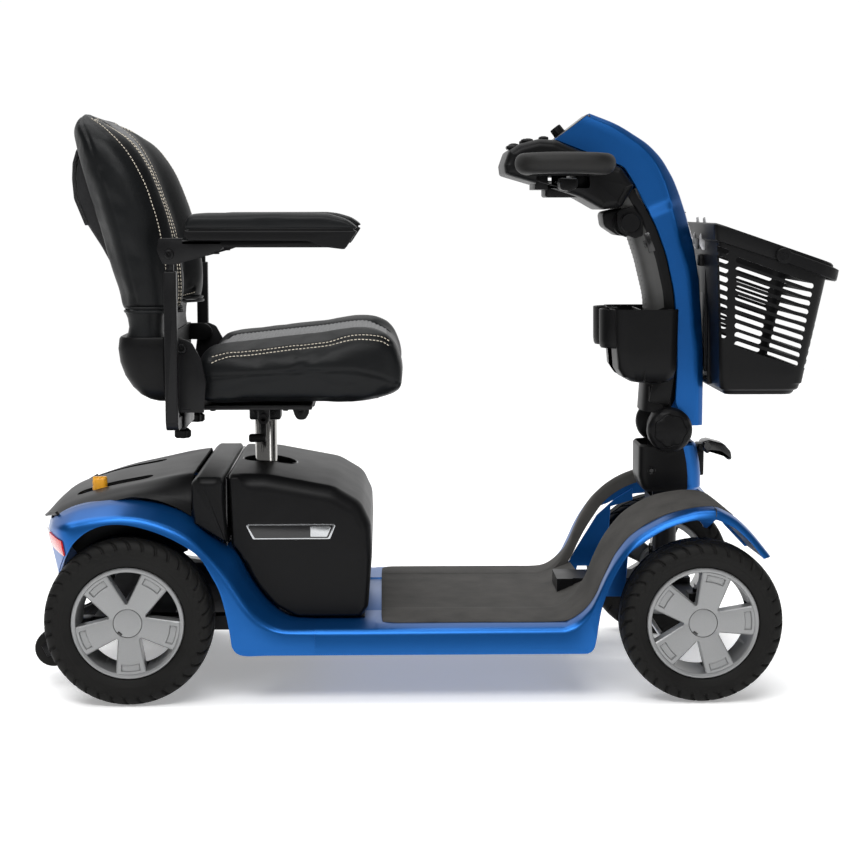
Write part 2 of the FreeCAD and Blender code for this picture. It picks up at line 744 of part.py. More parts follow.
def headlight():
    """Clear lens on the flat of the nose."""
    start = Vector(443, 743, 0)
    end = Vector(425, 803, 0)
    along = (end - start).normalize()
    low = start + along * 3
    high = start + along * 58
    line = [(low.x, low.y), (high.x, high.y)]
    body = new_body("headlight")
    pad(body, ribbon(line, -4), 52)


def tilt_lever():
    """Release lever in front of the fork."""
    blade = [(472, 372, 4), (476, 382), (500, 376, 20), (513, 366, 4), (518, 372, 5),
             (512, 390, 14), (476, 398, 10), (465, 392, 4)]
    body = new_body("tilt_lever")
    pad(body, blade, 46)


def throttle():
    """Rocking bar through the console, with a paddle for each hand's fingers."""
    hub = rod(THROTTLE_X, 0, 834, 13, 20)
    bar = box((THROTTLE_X - 9, THROTTLE_X + 9), (-168, 168), THROTTLE_Z)
    paddles = [side_box(side, (THROTTLE_X - 15, THROTTLE_X + 15), (128, 172), (826, 848))
               for side in (1, -1)]
    node(fuse(hub, bar, *paddles), "throttle")


DASH_SLOPE = math.degrees(math.atan2(958 - 912, 261 - 201))
DASH_TILT = Rotation(Vector(0, 1, 0), -DASH_SLOPE)


def on_dash(distance, y, height=0.5):
    """A point on the sloping dash, measured up its slope from the lower edge."""
    along = Vector(math.cos(math.radians(DASH_SLOPE)), 0, math.sin(math.radians(DASH_SLOPE)))
    out = DASH_TILT.multVec(Vector(0, 0, 1))
    return Vector(201, y, 912) + along * distance + out * height


def controls():
    """Speed dial and key on the sloping dash, horn button on the console's top."""
    foot = on_dash(16, -26)
    node(rod(foot.x, foot.y, foot.z, 12, 16, DASH_TILT), "speed_dial")
    foot = on_dash(22, 20)
    stem = rod(foot.x, foot.y, foot.z, 4, 5, DASH_TILT)
    bow = doc.addObject("Part::Box", "bow")
    bind(bow, Length=16, Width=3, Height=9)
    foot = foot + DASH_TILT.multVec(Vector(-8, -1.5, 4))
    bow.Placement = at(foot.x, foot.y, foot.z, DASH_TILT)
    node(fuse(stem, bow), "key")
    node(rod(BUTTON[0], BUTTON[1], 899, 9, 16), "horn_button")


tiller_frame()
tiller_front_cover()
tiller_rear_cover()
hinge_knobs()
glove_box()
console()
handlebar()
headlight()
tilt_lever()
throttle()
controls()


# ---------------------------------------------------------------- basket

def quad_wire(x_rear, z_rear, x_front, z_front, half):
    """A rectangle across the scooter, its front edge at another height."""
    corners = [Vector(x_rear, -half, z_rear), Vector(x_front, -half, z_front),
               Vector(x_front, half, z_front), Vector(x_rear, half, z_rear)]
    return Part.makePolygon(corners + corners[:1])


def basket():
    """Tapered open basket with a band round its sloping rim."""
    wall = 4
    shell = Part.makeLoft([quad_wire(472, 490, 606, 490, 158),
                           quad_wire(470, 772, 648, 708, 172)], True, True)
    band = Part.makeLoft([quad_wire(468, 742, 643, 679, 177),
                          quad_wire(466, 772, 652, 706, 179)], True, True)
    inside = Part.makeLoft([quad_wire(472 + wall, 490 + wall, 606 - wall, 490 + wall,
                                      158 - wall),
                            quad_wire(470 + wall, 832, 655 - wall, 768, 178 - wall)],
                           True, True)
    tub = doc.addObject("Part::Feature", "basket")
    tub.Shape = shell.fuse(band).cut(inside).removeSplitter()
    tub.Placement = at(0, 0, 0)
    node(tub, "basket")


def basket_handle():
    """Bail pivoted on the rim band, lying forward round the front."""
    pivot = (566, 722)
    slope = math.degrees(math.atan2(772 - 706, 652 - 466))
    lean = Rotation(Vector(0, 1, 0), slope)
    half = 183
    length = 106
    solids = []
    for side in (1, -1):
        bar = doc.addObject("Part::Box", "bar")
        bind(bar, Length=length, Width=5, Height=20)
        start = lean.multVec(Vector(-9, 0, -10)) + Vector(pivot[0], 0, pivot[1])
        bar.Placement = at(start.x, side * half - 2.5, start.z, lean)
        solids.append(bar)
        solids.append(rod_along_y(pivot[0], (side * 179.5, side * (half + 2.5)), pivot[1], 11))
    front = doc.addObject("Part::Box", "front")
    bind(front, Length=6, Width=2 * half + 5, Height=20)
    start = lean.multVec(Vector(length - 15, 0, -10)) + Vector(pivot[0], 0, pivot[1])
    front.Placement = at(start.x, -half - 2.5, start.z, lean)
    solids.append(front)
    node(fuse(*solids), "basket_handle")


def basket_bracket():
    """Plate on the mast with two lips that the basket hooks over."""
    plate = box((464.5, 468), (-42, 42), (520, 740))
    pads = [box((455, 464.5), (-20, 20), (700, 720)), box((462.5, 464.5), (-20, 20), (528, 560))]
    node(fuse(plate, *pads), "basket_bracket")


basket()
basket_handle()
basket_bracket()


# ---------------------------------------------------------------- seat

POST_X = size("post_x")
ARM_Y = size("arm_spacing") / 2
PIVOT_X = size("recline_x")
PIVOT_Z = size("recline_z")
ELBOW_X = size("arm_pivot_x")
ELBOW_Z = size("arm_pivot_z")
RECEIVER = (443, 469)


def seat_post():
    node(rod(POST_X, 0, 180, "sizes.post_dia / 2", 276), "seat_post")


def swivel_block():
    """Socket on the post with the turntable and its centre pin."""
    block = box((POST_X - 27, POST_X + 27), (-27, 27), (436, 463))
    table = rod(POST_X, 0, 462, 44, 8.7)
    pin = rod(POST_X, 0, 465, 10, 14)
    socket = rod(POST_X, 0, 430, "sizes.post_dia / 2 + sizes.running_gap", 26.3)
    node(cut(fuse(block, table, pin), socket), "swivel_block")


def seat_pan():
    """Steel plate, armrest receivers, hinge ears, front tab and lever ear."""
    plate = box((-400, -96), (-185, 185), (471, 479))
    solids = [plate, box((-440, -398), (-224, 224), (471, 479))]
    holes = [rod(POST_X, 0, 460, 10 + GAP, 30)]
    for side in (1, -1):
        solids.append(side_box(side, (-438, -410), (60, 205), (442, 472)))
        holes.append(side_box(side, (-434.5, -413.5), (55, 215), (445.5, 466.5)))
        ear = side_box(side, (-430, -394), (218, 224), (471, 590))
        solids.append(ear)
        holes.append(rod_along_y(PIVOT_X, (side * 200, side * 240), PIVOT_Z, 6 + GAP))
    solids.append(box((-240, -219), (-64, -58), (440, 472)))
    solids.append(box((POST_X - 10, POST_X + 10), (-58, -52), (434, 472)))
    solids.append(rod_along_y(POST_X, (-76, -52), 443, 4))
    node(cut(fuse(*solids), *holes), "seat_pan")


def swivel_lever():
    """Hanging handle that frees the swivel."""
    eye = rod_along_y(POST_X, (-74, -66), 443, 9)
    stem = box((POST_X - 5, POST_X + 5), (-74, -66), (406, 443))
    grip = box((POST_X - 24, POST_X + 5), (-74, -66), (404, 417))
    bore = rod_along_y(POST_X, (-90, -60), 443, 4 + GAP)
    node(cut(fuse(eye, stem, grip), bore), "swivel_lever")


def seat_cushion():
    outline = [(-388, 480, 20), (-391, 556, 26), (-371, 574, 30), (-315, 583, 90),
               (-246, 590, 200), (-141, 599, 90), (-84, 596, 30), (-62, 578, 40),
               (-53, 516, 12), (-62, 504, 10), (-110, 496, 60), (-140, 480)]
    body = new_body("seat_cushion")
    pad(body, outline, "sizes.seat_width")
    round_rims(body, 9, size("seat_width") / 2)


BACK_FRONT = [(-441, 592), (-441, 634), (-413, 640, 10), (-412, 668, 60), (-418, 714, 200),
              (-436, 788, 200), (-456, 830, 200), (-486, 890, 120), (-520, 926, 90),
              (-556, 962, 30), (-588, 966, 30), (-606, 942, 40), (-592, 905)]
BACK_REAR = [(-592, 905), (-579, 863), (-564, 799), (-549, 751), (-534, 695)]


def backrest():
    """Padded back, the hard lower shell with its hinge lugs, and a rear pocket."""
    outline = BACK_FRONT + BACK_REAR[1:] + [(-524, 650, 60), (-522, 632, 8), (-502, 629, 8),
                                            (-500, 592)]
    body = new_body("backrest_cushion")
    pad(body, outline, "sizes.back_width")
    round_rims(body, 7, size("back_width") / 2)
    shell = new_body("backrest_shell")
    outer = [(-440, 591.5), (-519, 591.5, 4), (-527, 580, 6), (-512, 532, 60),
             (-497, 509, 40), (-466, 489, 12), (-446, 484, 6), (-440, 500)]
    pad(shell, outer, 420)
    inner = [(-430, 586), (-515, 586), (-521, 579, 4), (-507, 534, 50), (-493, 513, 30),
             (-464, 494), (-430, 494)]
    pocket(shell, inner, 404)
    lug = [(-442, 560), (-412, 560, 14), (-398, 575, 14), (-412, 590, 14), (-442, 590)]
    for side in (1, -1):
        pad(shell, lug, 8, lift=-max(side * 202, side * 210), symmetric=False)
        pad(shell, circle(PIVOT_X, PIVOT_Z, 6), 20, lift=-max(side * 206, side * 226), symmetric=False)
    flap = [(-592, 905, 4), (-602, 884, 20), (-604, 812, 60), (-586, 768, 60),
            (-538, 684, 6), (-534, 695)] + BACK_REAR[1:-1][::-1]
    pouch = new_body("seat_pocket")
    pad(pouch, flap, 300)


def armrest(side_name, side):
    """Post that slides in the seat, bracket that folds on it, and the pad."""
    half = size("arm_tube") / 2
    tube_x = (ELBOW_X - half, ELBOW_X + half)
    upright = side_box(side, tube_x, (ARM_Y - half, ARM_Y + half), (446, 700))
    shank = side_box(side, tube_x, (70, ARM_Y + half), (446, 466))
    tongue = side_box(side, tube_x, (ARM_Y - 5, ARM_Y + 5), (690, ELBOW_Z))
    round_end = rod_along_y(ELBOW_X, (side * (ARM_Y - 5), side * (ARM_Y + 5)), ELBOW_Z,
                            "sizes.arm_tube / 2")
    bore = rod_along_y(ELBOW_X, (side * (ARM_Y - 20), side * (ARM_Y + 20)), ELBOW_Z, 4 + GAP)
    node(cut(fuse(upright, shank, tongue, round_end), bore), f"arm_post_{side_name}")

    cheek = [(-440, 752, 4), (-443, 733, 10), (-434, 711, 6), (-414, 711, 6), (-368, 724, 20),
             (-340, 735, 6), (-338, 748), (-404, 748), (-404, 742), (-436, 752)]
    bracket = new_body(f"arm_bracket_{side_name}")
    plate = 5.4
    spread = 5.5
    for across in (-spread - plate, spread):
        pad(bracket, cheek, plate, lift=-(across + plate), symmetric=False)
    web = [(-404, 742), (-200, 742), (-200, 748), (-404, 748)]
    pad(bracket, web, 2 * (plate + spread))
    pad(bracket, circle(ELBOW_X, ELBOW_Z, 4), 30)
    bracket.Placement = at(0, side * ARM_Y, 0)

    outline = [(-399, 748.3, 4), (-400, 772, 16), (-390, 789, 8), (-181, 790, 90),
               (-134, 778, 14), (-125, 766, 10), (-146, 736, 5), (-160, 738, 20),
               (-190, 748.3)]
    arm = new_body(f"arm_pad_{side_name}")
    pad(arm, outline, "sizes.arm_pad_width")
    round_rims(arm, 5, size("arm_pad_width") / 2)
    arm.Placement = at(0, side * ARM_Y, 0)


seat_post()
swivel_block()
seat_pan()
swivel_lever()
seat_cushion()
backrest()
armrest("left", 1)
armrest("right", -1)


# ---------------------------------------------------------------- check and write

doc.recompute()
for thing in doc.Objects:
    if "Invalid" in thing.State or "Error" in thing.State:
        raise ValueError(f"{thing.Label} ({thing.Name}) failed: {thing.State}")
for sub_part in nodes:
    shape = sub_part.Shape
    if shape.isNull() or not shape.isValid() or not shape.Solids:
        raise ValueError(f"{sub_part.Label} has no valid solid")
os.makedirs("parts", exist_ok=True)
for sub_part in nodes:
    sub_part.Shape.exportStep(f"parts/{sub_part.Label}.step")
whole = Part.makeCompound([sub_part.Shape for sub_part in nodes]).BoundBox
print(len(nodes), "nodes")
print(f"x {whole.XMin:.1f} {whole.XMax:.1f}  y {whole.YMin:.1f} {whole.YMax:.1f}"
      f"  z {whole.ZMin:.1f} {whole.ZMax:.1f}")
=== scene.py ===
import bpy
import math
import numpy as np
from mathutils import Matrix, Vector


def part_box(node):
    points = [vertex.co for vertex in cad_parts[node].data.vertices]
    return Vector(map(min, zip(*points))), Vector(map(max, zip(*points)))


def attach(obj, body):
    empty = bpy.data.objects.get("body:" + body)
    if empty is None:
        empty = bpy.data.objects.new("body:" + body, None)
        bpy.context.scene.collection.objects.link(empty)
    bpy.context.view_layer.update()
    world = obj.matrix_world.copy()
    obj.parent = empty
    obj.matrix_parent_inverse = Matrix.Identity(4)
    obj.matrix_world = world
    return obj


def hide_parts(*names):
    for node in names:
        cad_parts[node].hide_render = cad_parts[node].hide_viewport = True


# Mobility scooter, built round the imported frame.  Drawing numbers are millimetres from the
# design datum: +X forward, +Y to the rider's left, +Z up from the floor.

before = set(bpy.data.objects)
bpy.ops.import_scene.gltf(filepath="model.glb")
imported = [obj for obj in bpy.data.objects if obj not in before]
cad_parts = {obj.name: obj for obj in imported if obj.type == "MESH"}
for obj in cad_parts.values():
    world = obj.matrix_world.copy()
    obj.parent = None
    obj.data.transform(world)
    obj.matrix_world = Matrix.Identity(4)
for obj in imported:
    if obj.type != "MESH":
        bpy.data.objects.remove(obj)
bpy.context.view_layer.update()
tyre_low, tyre_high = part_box("rear_tyre_left")
SHIFT = (tyre_low[0] + tyre_high[0]) * 500 + 500.0
MM = 0.001


def metres(x, y, z):
    return Vector(((x + SHIFT) * MM, y * MM, z * MM))


# ------------------------------------------------------------------ curves and outlines

def spline(points, count, closed=False):
    """Evenly spaced samples of a centripetal-like Catmull-Rom curve through the points."""
    p = np.array(points, float)
    n = len(p)
    spans = n if closed else n - 1
    fine = []
    for i in range(spans):
        if closed:
            a, b, c, d = (p[(i + k) % n] for k in (-1, 0, 1, 2))
        else:
            b, c = p[i], p[i + 1]
            a = p[i - 1] if i else 2 * b - c
            d = p[i + 2] if i + 2 < n else 2 * c - b
        for t in np.linspace(0, 1, 12, endpoint=False):
            fine.append(0.5 * (2 * b + (c - a) * t + (2 * a - 5 * b + 4 * c - d) * t * t
                               + (3 * b - a - 3 * c + d) * t ** 3))
    if not closed:
        fine.append(p[-1])
    return even(fine, count, closed)


def even(points, count, closed=False):
    """The same line with evenly spaced points."""
    p = np.array(points, float)
    if closed:
        p = np.vstack([p, p[:1]])
    step = np.r_[0, np.cumsum(np.linalg.norm(np.diff(p, axis=0), axis=1))]
    at = np.linspace(0, step[-1], count + 1 if closed else count)
    if closed:
        at = at[:-1]
    return np.stack([np.interp(at, step, p[:, k]) for k in range(p.shape[1])], axis=1)


def rounded(corners, steps=7, closed=True):
    """An outline whose corners (u, v, radius) become arcs."""
    out = []
    n = len(corners)
    for i, corner in enumerate(corners):
        here = np.array(corner[:2], float)
        radius = corner[2] if len(corner) > 2 else 0
        if not radius or (not closed and i in (0, n - 1)):
            out.append(here)
            continue
        a = np.array(corners[i - 1][:2], float) - here
        b = np.array(corners[(i + 1) % n][:2], float) - here
        la, lb = np.linalg.norm(a), np.linalg.norm(b)
        a, b = a / la, b / lb
        half = math.acos(float(np.clip(a @ b, -1, 1))) / 2
        if half > 1.56:
            out.append(here)
            continue
        reach = min(radius / math.tan(half), 0.49 * la, 0.49 * lb)
        r = reach * math.tan(half)
        centre = here + (a + b) / np.linalg.norm(a + b) * (r / math.sin(half))
        u, v = here + a * reach - centre, here + b * reach - centre
        start = math.atan2(u[1], u[0])
        turn = (math.atan2(v[1], v[0]) - start + math.pi) % (2 * math.pi) - math.pi
        for k in range(steps + 1):
            t = start + turn * k / steps
            out.append(centre + r * np.array([math.cos(t), math.sin(t)]))
    return np.array(out)


def inward(line, distance, closed=True):
    """The outline moved to its inner side (anticlockwise outline) by a distance per point."""
    p = np.array(line, float)
    if closed:
        before, after = np.roll(p, 1, axis=0), np.roll(p, -1, axis=0)
    else:
        before = np.vstack([2 * p[0] - p[1], p[:-1]])
        after = np.vstack([p[1:], 2 * p[-1] - p[-2]])
    u = (p - before) / np.maximum(np.linalg.norm(p - before, axis=1, keepdims=True), 1e-9)
    v = (after - p) / np.maximum(np.linalg.norm(after - p, axis=1, keepdims=True), 1e-9)
    nu, nv = np.stack([-u[:, 1], u[:, 0]], 1), np.stack([-v[:, 1], v[:, 0]], 1)
    mid = nu + nv
    mid /= np.maximum(np.linalg.norm(mid, axis=1, keepdims=True), 1e-9)
    scale = 1 / np.maximum(np.sum(mid * nv, axis=1), 0.45)
    return p + mid * (scale * distance)[:, None] if np.ndim(distance) else \
        p + mid * scale[:, None] * distance


def turning(line):
    """True where an outline runs anticlockwise."""
    p = np.array(line, float)
    q = np.roll(p, -1, axis=0)
    return float(np.sum(p[:, 0] * q[:, 1] - q[:, 0] * p[:, 1])) > 0


def safe_rim(outline, wanted):
    """Rim radii kept under the outline's own corner radii, so that no ring crosses itself."""
    p = np.array(outline)
    a, b = p - np.roll(p, 1, axis=0), np.roll(p, -1, axis=0) - p
    turn = np.arctan2(a[:, 0] * b[:, 1] - a[:, 1] * b[:, 0], np.sum(a * b, axis=1))
    step = (np.linalg.norm(a, axis=1) + np.linalg.norm(b, axis=1)) / 2
    r = np.minimum(wanted, 0.8 * step / np.maximum(turn, 1e-3))
    for _ in range(12):
        r = np.minimum(r, (np.roll(r, 1) + np.roll(r, -1)) / 2 + 0.25)
    return r


# ------------------------------------------------------------------ meshes

class Solid:
    """Collects faces in drawing millimetres, then becomes one Blender object."""

    def __init__(self):
        self.verts, self.faces, self.mats = [], [], []
        self.mat = 0

    def add(self, verts, faces):
        base = len(self.verts)
        self.verts.extend([tuple(map(float, v)) for v in verts])
        self.faces.extend([tuple(base + i for i in f) for f in faces])
        self.mats.extend([self.mat] * len(faces))
        return self

    def grid(self, rows, around=False, along=False, ends=(False, False)):
        """Faces between rows of points; around closes each row, along closes the rows."""
        n, m = len(rows), len(rows[0])
        verts = [v for row in rows for v in row]
        faces = []
        for i in range(n if along else n - 1):
            for j in range(m if around else m - 1):
                a, b = i * m + j, i * m + (j + 1) % m
                c, d = ((i + 1) % n) * m + (j + 1) % m, ((i + 1) % n) * m + j
                faces.append((a, b, c, d))
        if ends[0]:
            faces.append(tuple(reversed(range(m))))
        if ends[1]:
            faces.append(tuple((n - 1) * m + j for j in range(m)))
        return self.add(verts, faces)

    def prism(self, outline, y0, y1, r0=0.0, r1=0.0, steps=5, place=None):
        """An (x, z) outline carried from y0 to y1 with rounded rims of radius r0 and r1."""
        line = np.array(outline, float)
        if not turning(line):
            line = line[::-1]
        rows = []
        for r, y, way in ((r0, y0, 1), (r1, y1, -1)):
            part = []
            peak = float(np.max(r))
            angles = np.linspace(0, math.pi / 2, steps + 1) if peak > 0 else [math.pi / 2]
            for t in angles:
                depth = (1 - math.sin(t)) * np.asarray(r, float)
                part.append((inward(line, depth if np.ndim(depth) else float(depth)),
                             y + way * peak * (1 - math.cos(t))))
            rows.extend(part if way == 1 else part[::-1])
        put = place or (lambda x, y, z: (x, y, z))
        shaped = [[put(p[0], y, p[1]) for p in ring] for ring, y in rows]
        return self.grid(shaped, around=True, ends=(True, True))

    def block(self, x, y, z, r=1.0, steps=2, place=None):
        """A block with all its edges rounded."""
        r = min(r, (x[1] - x[0]) / 2.01, (y[1] - y[0]) / 2.01, (z[1] - z[0]) / 2.01)
        outline = rounded([(x[0], z[0], r), (x[1], z[0], r), (x[1], z[1], r), (x[0], z[1], r)],
                          steps + 1)
        return self.prism(outline, y[0], y[1], r, r, steps, place)

    def lathe(self, profile, centre, axis=(0, 1, 0), count=64, closed=False, sides=None):
        """A profile (radius, height along the axis) turned about the axis."""
        axis = Vector(axis).normalized()
        across = axis.orthogonal().normalized() if abs(axis.y) < 0.99 else Vector((1, 0, 0))
        other = axis.cross(across)
        count = sides or count
        rows = []
        for k in range(count):
            t = 2 * math.pi * k / count
            out = across * math.cos(t) + other * math.sin(t)
            rows.append([tuple(Vector(centre) + out * r + axis * h) for r, h in profile])
        return self.grid(rows, around=closed, along=True)

    def tube(self, path, radius, count=12, closed=False, caps=True, shape=None):
        """A round or shaped section carried along a path of points."""
        p = np.array(path, float)
        n = len(p)
        if closed:
            along = np.roll(p, -1, axis=0) - np.roll(p, 1, axis=0)
        else:
            along = np.gradient(p, axis=0)
        along /= np.maximum(np.linalg.norm(along, axis=1, keepdims=True), 1e-9)
        normal = Vector(along[0]).orthogonal().normalized()
        if abs(along[0][1]) < 0.9:
            normal = Vector((0, 1, 0)) - Vector(along[0]) * float(along[0][1])
            normal.normalize()
        rows = []
        for i in range(n):
            tangent = Vector(along[i])
            normal = (normal - tangent * normal.dot(tangent)).normalized()
            other = tangent.cross(normal)
            r = radius[i] if np.ndim(radius) else radius
            ring = []
            section = shape or [(math.cos(2 * math.pi * k / count),
                                 math.sin(2 * math.pi * k / count)) for k in range(count)]
            for a, b in section:
                ring.append(tuple(Vector(p[i]) + normal * (a * r) + other * (b * r)))
            rows.append(ring)
        return self.grid(rows, around=True, along=closed,
                         ends=(caps and not closed, caps and not closed))

    def bolt(self, centre, axis, radius, height, recess=True):
        """A round head with a hexagon socket."""
        self.lathe([(0.01, -0.5), (radius * 0.96, -0.5), (radius, height * 0.25),
                    (radius * 0.92, height * 0.8), (radius * 0.75, height),
                    (radius * 0.52, height)], centre, axis, 28)
        if recess:
            self.lathe([(radius * 0.52, height), (radius * 0.5, height * 0.3),
                        (0.01, height * 0.3)], centre, axis, sides=6)
        else:
            self.lathe([(radius * 0.52, height), (0.01, height * 1.05)], centre, axis, 28)
        return self

    def mirrored(self):
        """The same faces again on the other side of the middle plane."""
        base, faces, mats = len(self.verts), list(self.faces), list(self.mats)
        self.verts.extend([(x, -y, z) for x, y, z in list(self.verts)])
        self.faces.extend([tuple(base + i for i in reversed(f)) for f in faces])
        self.mats.extend(mats)
        return self


def sharpen(mesh, angle):
    """Smooth shading with hard edges where faces meet at more than an angle."""
    import bmesh
    bm = bmesh.new()
    bm.from_mesh(mesh)
    bmesh.ops.remove_doubles(bm, verts=bm.verts, dist=2e-5)
    bmesh.ops.dissolve_degenerate(bm, edges=bm.edges, dist=1e-6)
    bmesh.ops.recalc_face_normals(bm, faces=bm.faces)
    limit = math.radians(angle)
    for face in bm.faces:
        face.smooth = True
    for edge in bm.edges:
        if len(edge.link_faces) == 2:
            edge.smooth = edge.calc_face_angle(0) < limit
    bm.to_mesh(mesh)
    bm.free()


def piece(name, solid, body, materials, replaces=(), angle=32, modifiers=()):
    """Make the object, give it its materials, and fix it to its body."""
    mesh = bpy.data.meshes.new(name)
    mesh.from_pydata([metres(*v) for v in solid.verts], [], solid.faces)
    mesh.polygons.foreach_set("material_index", solid.mats)
    for material in materials if isinstance(materials, (list, tuple)) else [materials]:
        mesh.materials.append(material)
    mesh.validate()
    sharpen(mesh, angle)
    made = bpy.data.objects.new(name, mesh)
    bpy.context.scene.collection.objects.link(made)
    if modifiers:
        for kind, settings in modifiers:
            modifier = made.modifiers.new(kind.lower(), kind)
            for key, value in settings.items():
                setattr(modifier, key, value)
        apply_modifiers(made)
        sharpen(made.data, angle)
    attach(made, body)
    if replaces:
        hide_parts(*replaces)
    return made


def apply_modifiers(made):
    """Turn an object's modifiers into its mesh."""
    bpy.context.view_layer.update()
    graph = bpy.context.evaluated_depsgraph_get()
    result = bpy.data.meshes.new_from_object(made.evaluated_get(graph))
    made.modifiers.clear()
    old = made.data
    made.data = result
    bpy.data.meshes.remove(old)
    return made


# ------------------------------------------------------------------ materials

def material(name, colour, rough, metal=0.0, specular=0.5, vary=0.12, scale=40.0, rough_vary=0.08,
             bump=(), coat=0.0, coat_rough=0.2, second=None, sheen=0.0, stretch=(1, 1, 1)):
    """A surface with its own colour variation, roughness variation and fine relief.

    bump holds (kind, scale, strength, distance) with kind noise or cells."""
    mat = bpy.data.materials.new(name)
    mat.use_nodes = True
    nodes, links = mat.node_tree.nodes, mat.node_tree.links
    shader = nodes["Principled BSDF"]
    shader.inputs["Metallic"].default_value = metal
    shader.inputs["Specular IOR Level"].default_value = specular
    shader.inputs["Coat Weight"].default_value = coat
    shader.inputs["Coat Roughness"].default_value = coat_rough
    shader.inputs["Sheen Weight"].default_value = sheen
    place = nodes.new("ShaderNodeTexCoord")
    mapping = nodes.new("ShaderNodeMapping")
    mapping.inputs["Scale"].default_value = stretch
    links.new(place.outputs["Object"], mapping.inputs["Vector"])
    cloud = nodes.new("ShaderNodeTexNoise")
    cloud.inputs["Scale"].default_value = scale
    cloud.inputs["Detail"].default_value = 6.0
    links.new(mapping.outputs["Vector"], cloud.inputs["Vector"])
    ramp = nodes.new("ShaderNodeValToRGB")
    low = [c * (1 - vary) for c in colour]
    high = [min(1.0, c * (1 + vary)) for c in (second or colour)]
    ramp.color_ramp.elements[0].position = 0.3
    ramp.color_ramp.elements[1].position = 0.7
    ramp.color_ramp.elements[0].color = (*low, 1)
    ramp.color_ramp.elements[1].color = (*high, 1)
    links.new(cloud.outputs["Fac"], ramp.inputs["Fac"])
    links.new(ramp.outputs["Color"], shader.inputs["Base Color"])
    spread = nodes.new("ShaderNodeMapRange")
    spread.inputs["To Min"].default_value = max(0.02, rough - rough_vary)
    spread.inputs["To Max"].default_value = min(1.0, rough + rough_vary)
    links.new(cloud.outputs["Fac"], spread.inputs["Value"])
    links.new(spread.outputs["Result"], shader.inputs["Roughness"])
    last = None
    for kind, size, strength, distance in bump:
        if kind == "noise":
            relief = nodes.new("ShaderNodeTexNoise")
            relief.inputs["Detail"].default_value = 4.0
            height = relief.outputs["Fac"]
        else:
            relief = nodes.new("ShaderNodeTexVoronoi")
            height = relief.outputs["Distance"]
        relief.inputs["Scale"].default_value = size
        links.new(mapping.outputs["Vector"], relief.inputs["Vector"])
        node = nodes.new("ShaderNodeBump")
        node.inputs["Strength"].default_value = strength
        node.inputs["Distance"].default_value = distance
        links.new(height, node.inputs["Height"])
        if last:
            links.new(last.outputs["Normal"], node.inputs["Normal"])
        last = node
    if last:
        links.new(last.outputs["Normal"], shader.inputs["Normal"])
    return mat


BLUE = material("blue_paint", (0.002, 0.085, 0.31), 0.35, metal=0.8, vary=0.05, scale=900,
                rough_vary=0.03, bump=(("noise", 2600, 0.05, 0.0002),), coat=0.15,
                coat_rough=0.35)
PLASTIC = material("black_plastic", (0.0045, 0.0045, 0.0048), 0.4, specular=0.11, vary=0.1,
                   scale=18, rough_vary=0.05, bump=(("noise", 1400, 0.12, 0.0002),))
GLOSS = material("black_gloss", (0.006, 0.006, 0.0065), 0.24, specular=0.5, vary=0.1, scale=20,
                 rough_vary=0.04, bump=(("noise", 900, 0.05, 0.0002),))
STEEL = material("black_steel", (0.0045, 0.0045, 0.005), 0.38, specular=0.16, vary=0.12, scale=30,
                 rough_vary=0.08, bump=(("noise", 700, 0.15, 0.0003),))
MAT = material("rubber_mat", (0.042, 0.0405, 0.038), 0.82, specular=0.22, vary=0.14, scale=26,
               rough_vary=0.06, second=(0.052, 0.0495, 0.0465),
               bump=(("noise", 900, 0.5, 0.0004), ("noise", 120, 0.15, 0.0008)))
TYRE = material("tyre_rubber", (0.007, 0.0068, 0.0064), 0.62, specular=0.13, vary=0.18, scale=30,
                rough_vary=0.1, bump=(("noise", 500, 0.2, 0.0003),))
SILVER = material("wheel_silver", (0.235, 0.238, 0.24), 0.38, metal=0.5, vary=0.04, scale=700,
                  rough_vary=0.03, bump=(("noise", 2200, 0.05, 0.0002),), coat=0.15,
                  coat_rough=0.25)
CHROME = material("chrome", (0.55, 0.54, 0.52), 0.16, metal=1.0, vary=0.05, scale=30,
                  rough_vary=0.05)
ZINC = material("zinc", (0.5, 0.5, 0.51), 0.34, metal=0.9, vary=0.15, scale=120,
                rough_vary=0.12, bump=(("noise", 600, 0.15, 0.0003),))
CASTING = material("casting", (0.03, 0.03, 0.032), 0.5, metal=0.4, vary=0.2, scale=60,
                   rough_vary=0.1, bump=(("noise", 400, 0.4, 0.0005),))
LEATHER = material("black_leather", (0.0045, 0.005, 0.0055), 0.4, specular=0.14, vary=0.18,
                   scale=14, rough_vary=0.08,
                   bump=(("cells", 900, 0.28, 0.0004), ("noise", 45, 0.22, 0.0025),
                         ("noise", 11, 0.2, 0.006)))
RIBBED = material("ribbed_leather", (0.085, 0.086, 0.088), 0.5, specular=0.4, vary=0.2, scale=500,
                  rough_vary=0.08, bump=(("cells", 420, 0.6, 0.0006),))
SKIRT = material("skirt_fabric", (0.012, 0.012, 0.013), 0.75, specular=0.25, vary=0.25, scale=300,
                 rough_vary=0.08, sheen=0.15, bump=(("cells", 700, 0.5, 0.0005),))
THREAD = material("cream_thread", (0.62, 0.56, 0.46), 0.7, vary=0.15, scale=400,
                  bump=(("noise", 3000, 0.4, 0.0002),))
GRIP = material("grip_rubber", (0.010, 0.0097, 0.0093), 0.58, specular=0.22, vary=0.15, scale=35,
                rough_vary=0.07, bump=(("noise", 800, 0.25, 0.0003),))
GREY = material("grey_panel", (0.05, 0.05, 0.049), 0.5, specular=0.4, vary=0.08, scale=60,
                rough_vary=0.06, bump=(("noise", 1200, 0.2, 0.0003),))
YELLOW = material("yellow_plastic", (0.80, 0.36, 0.012), 0.42, vary=0.08, scale=90,
                  bump=(("noise", 700, 0.15, 0.0003),))
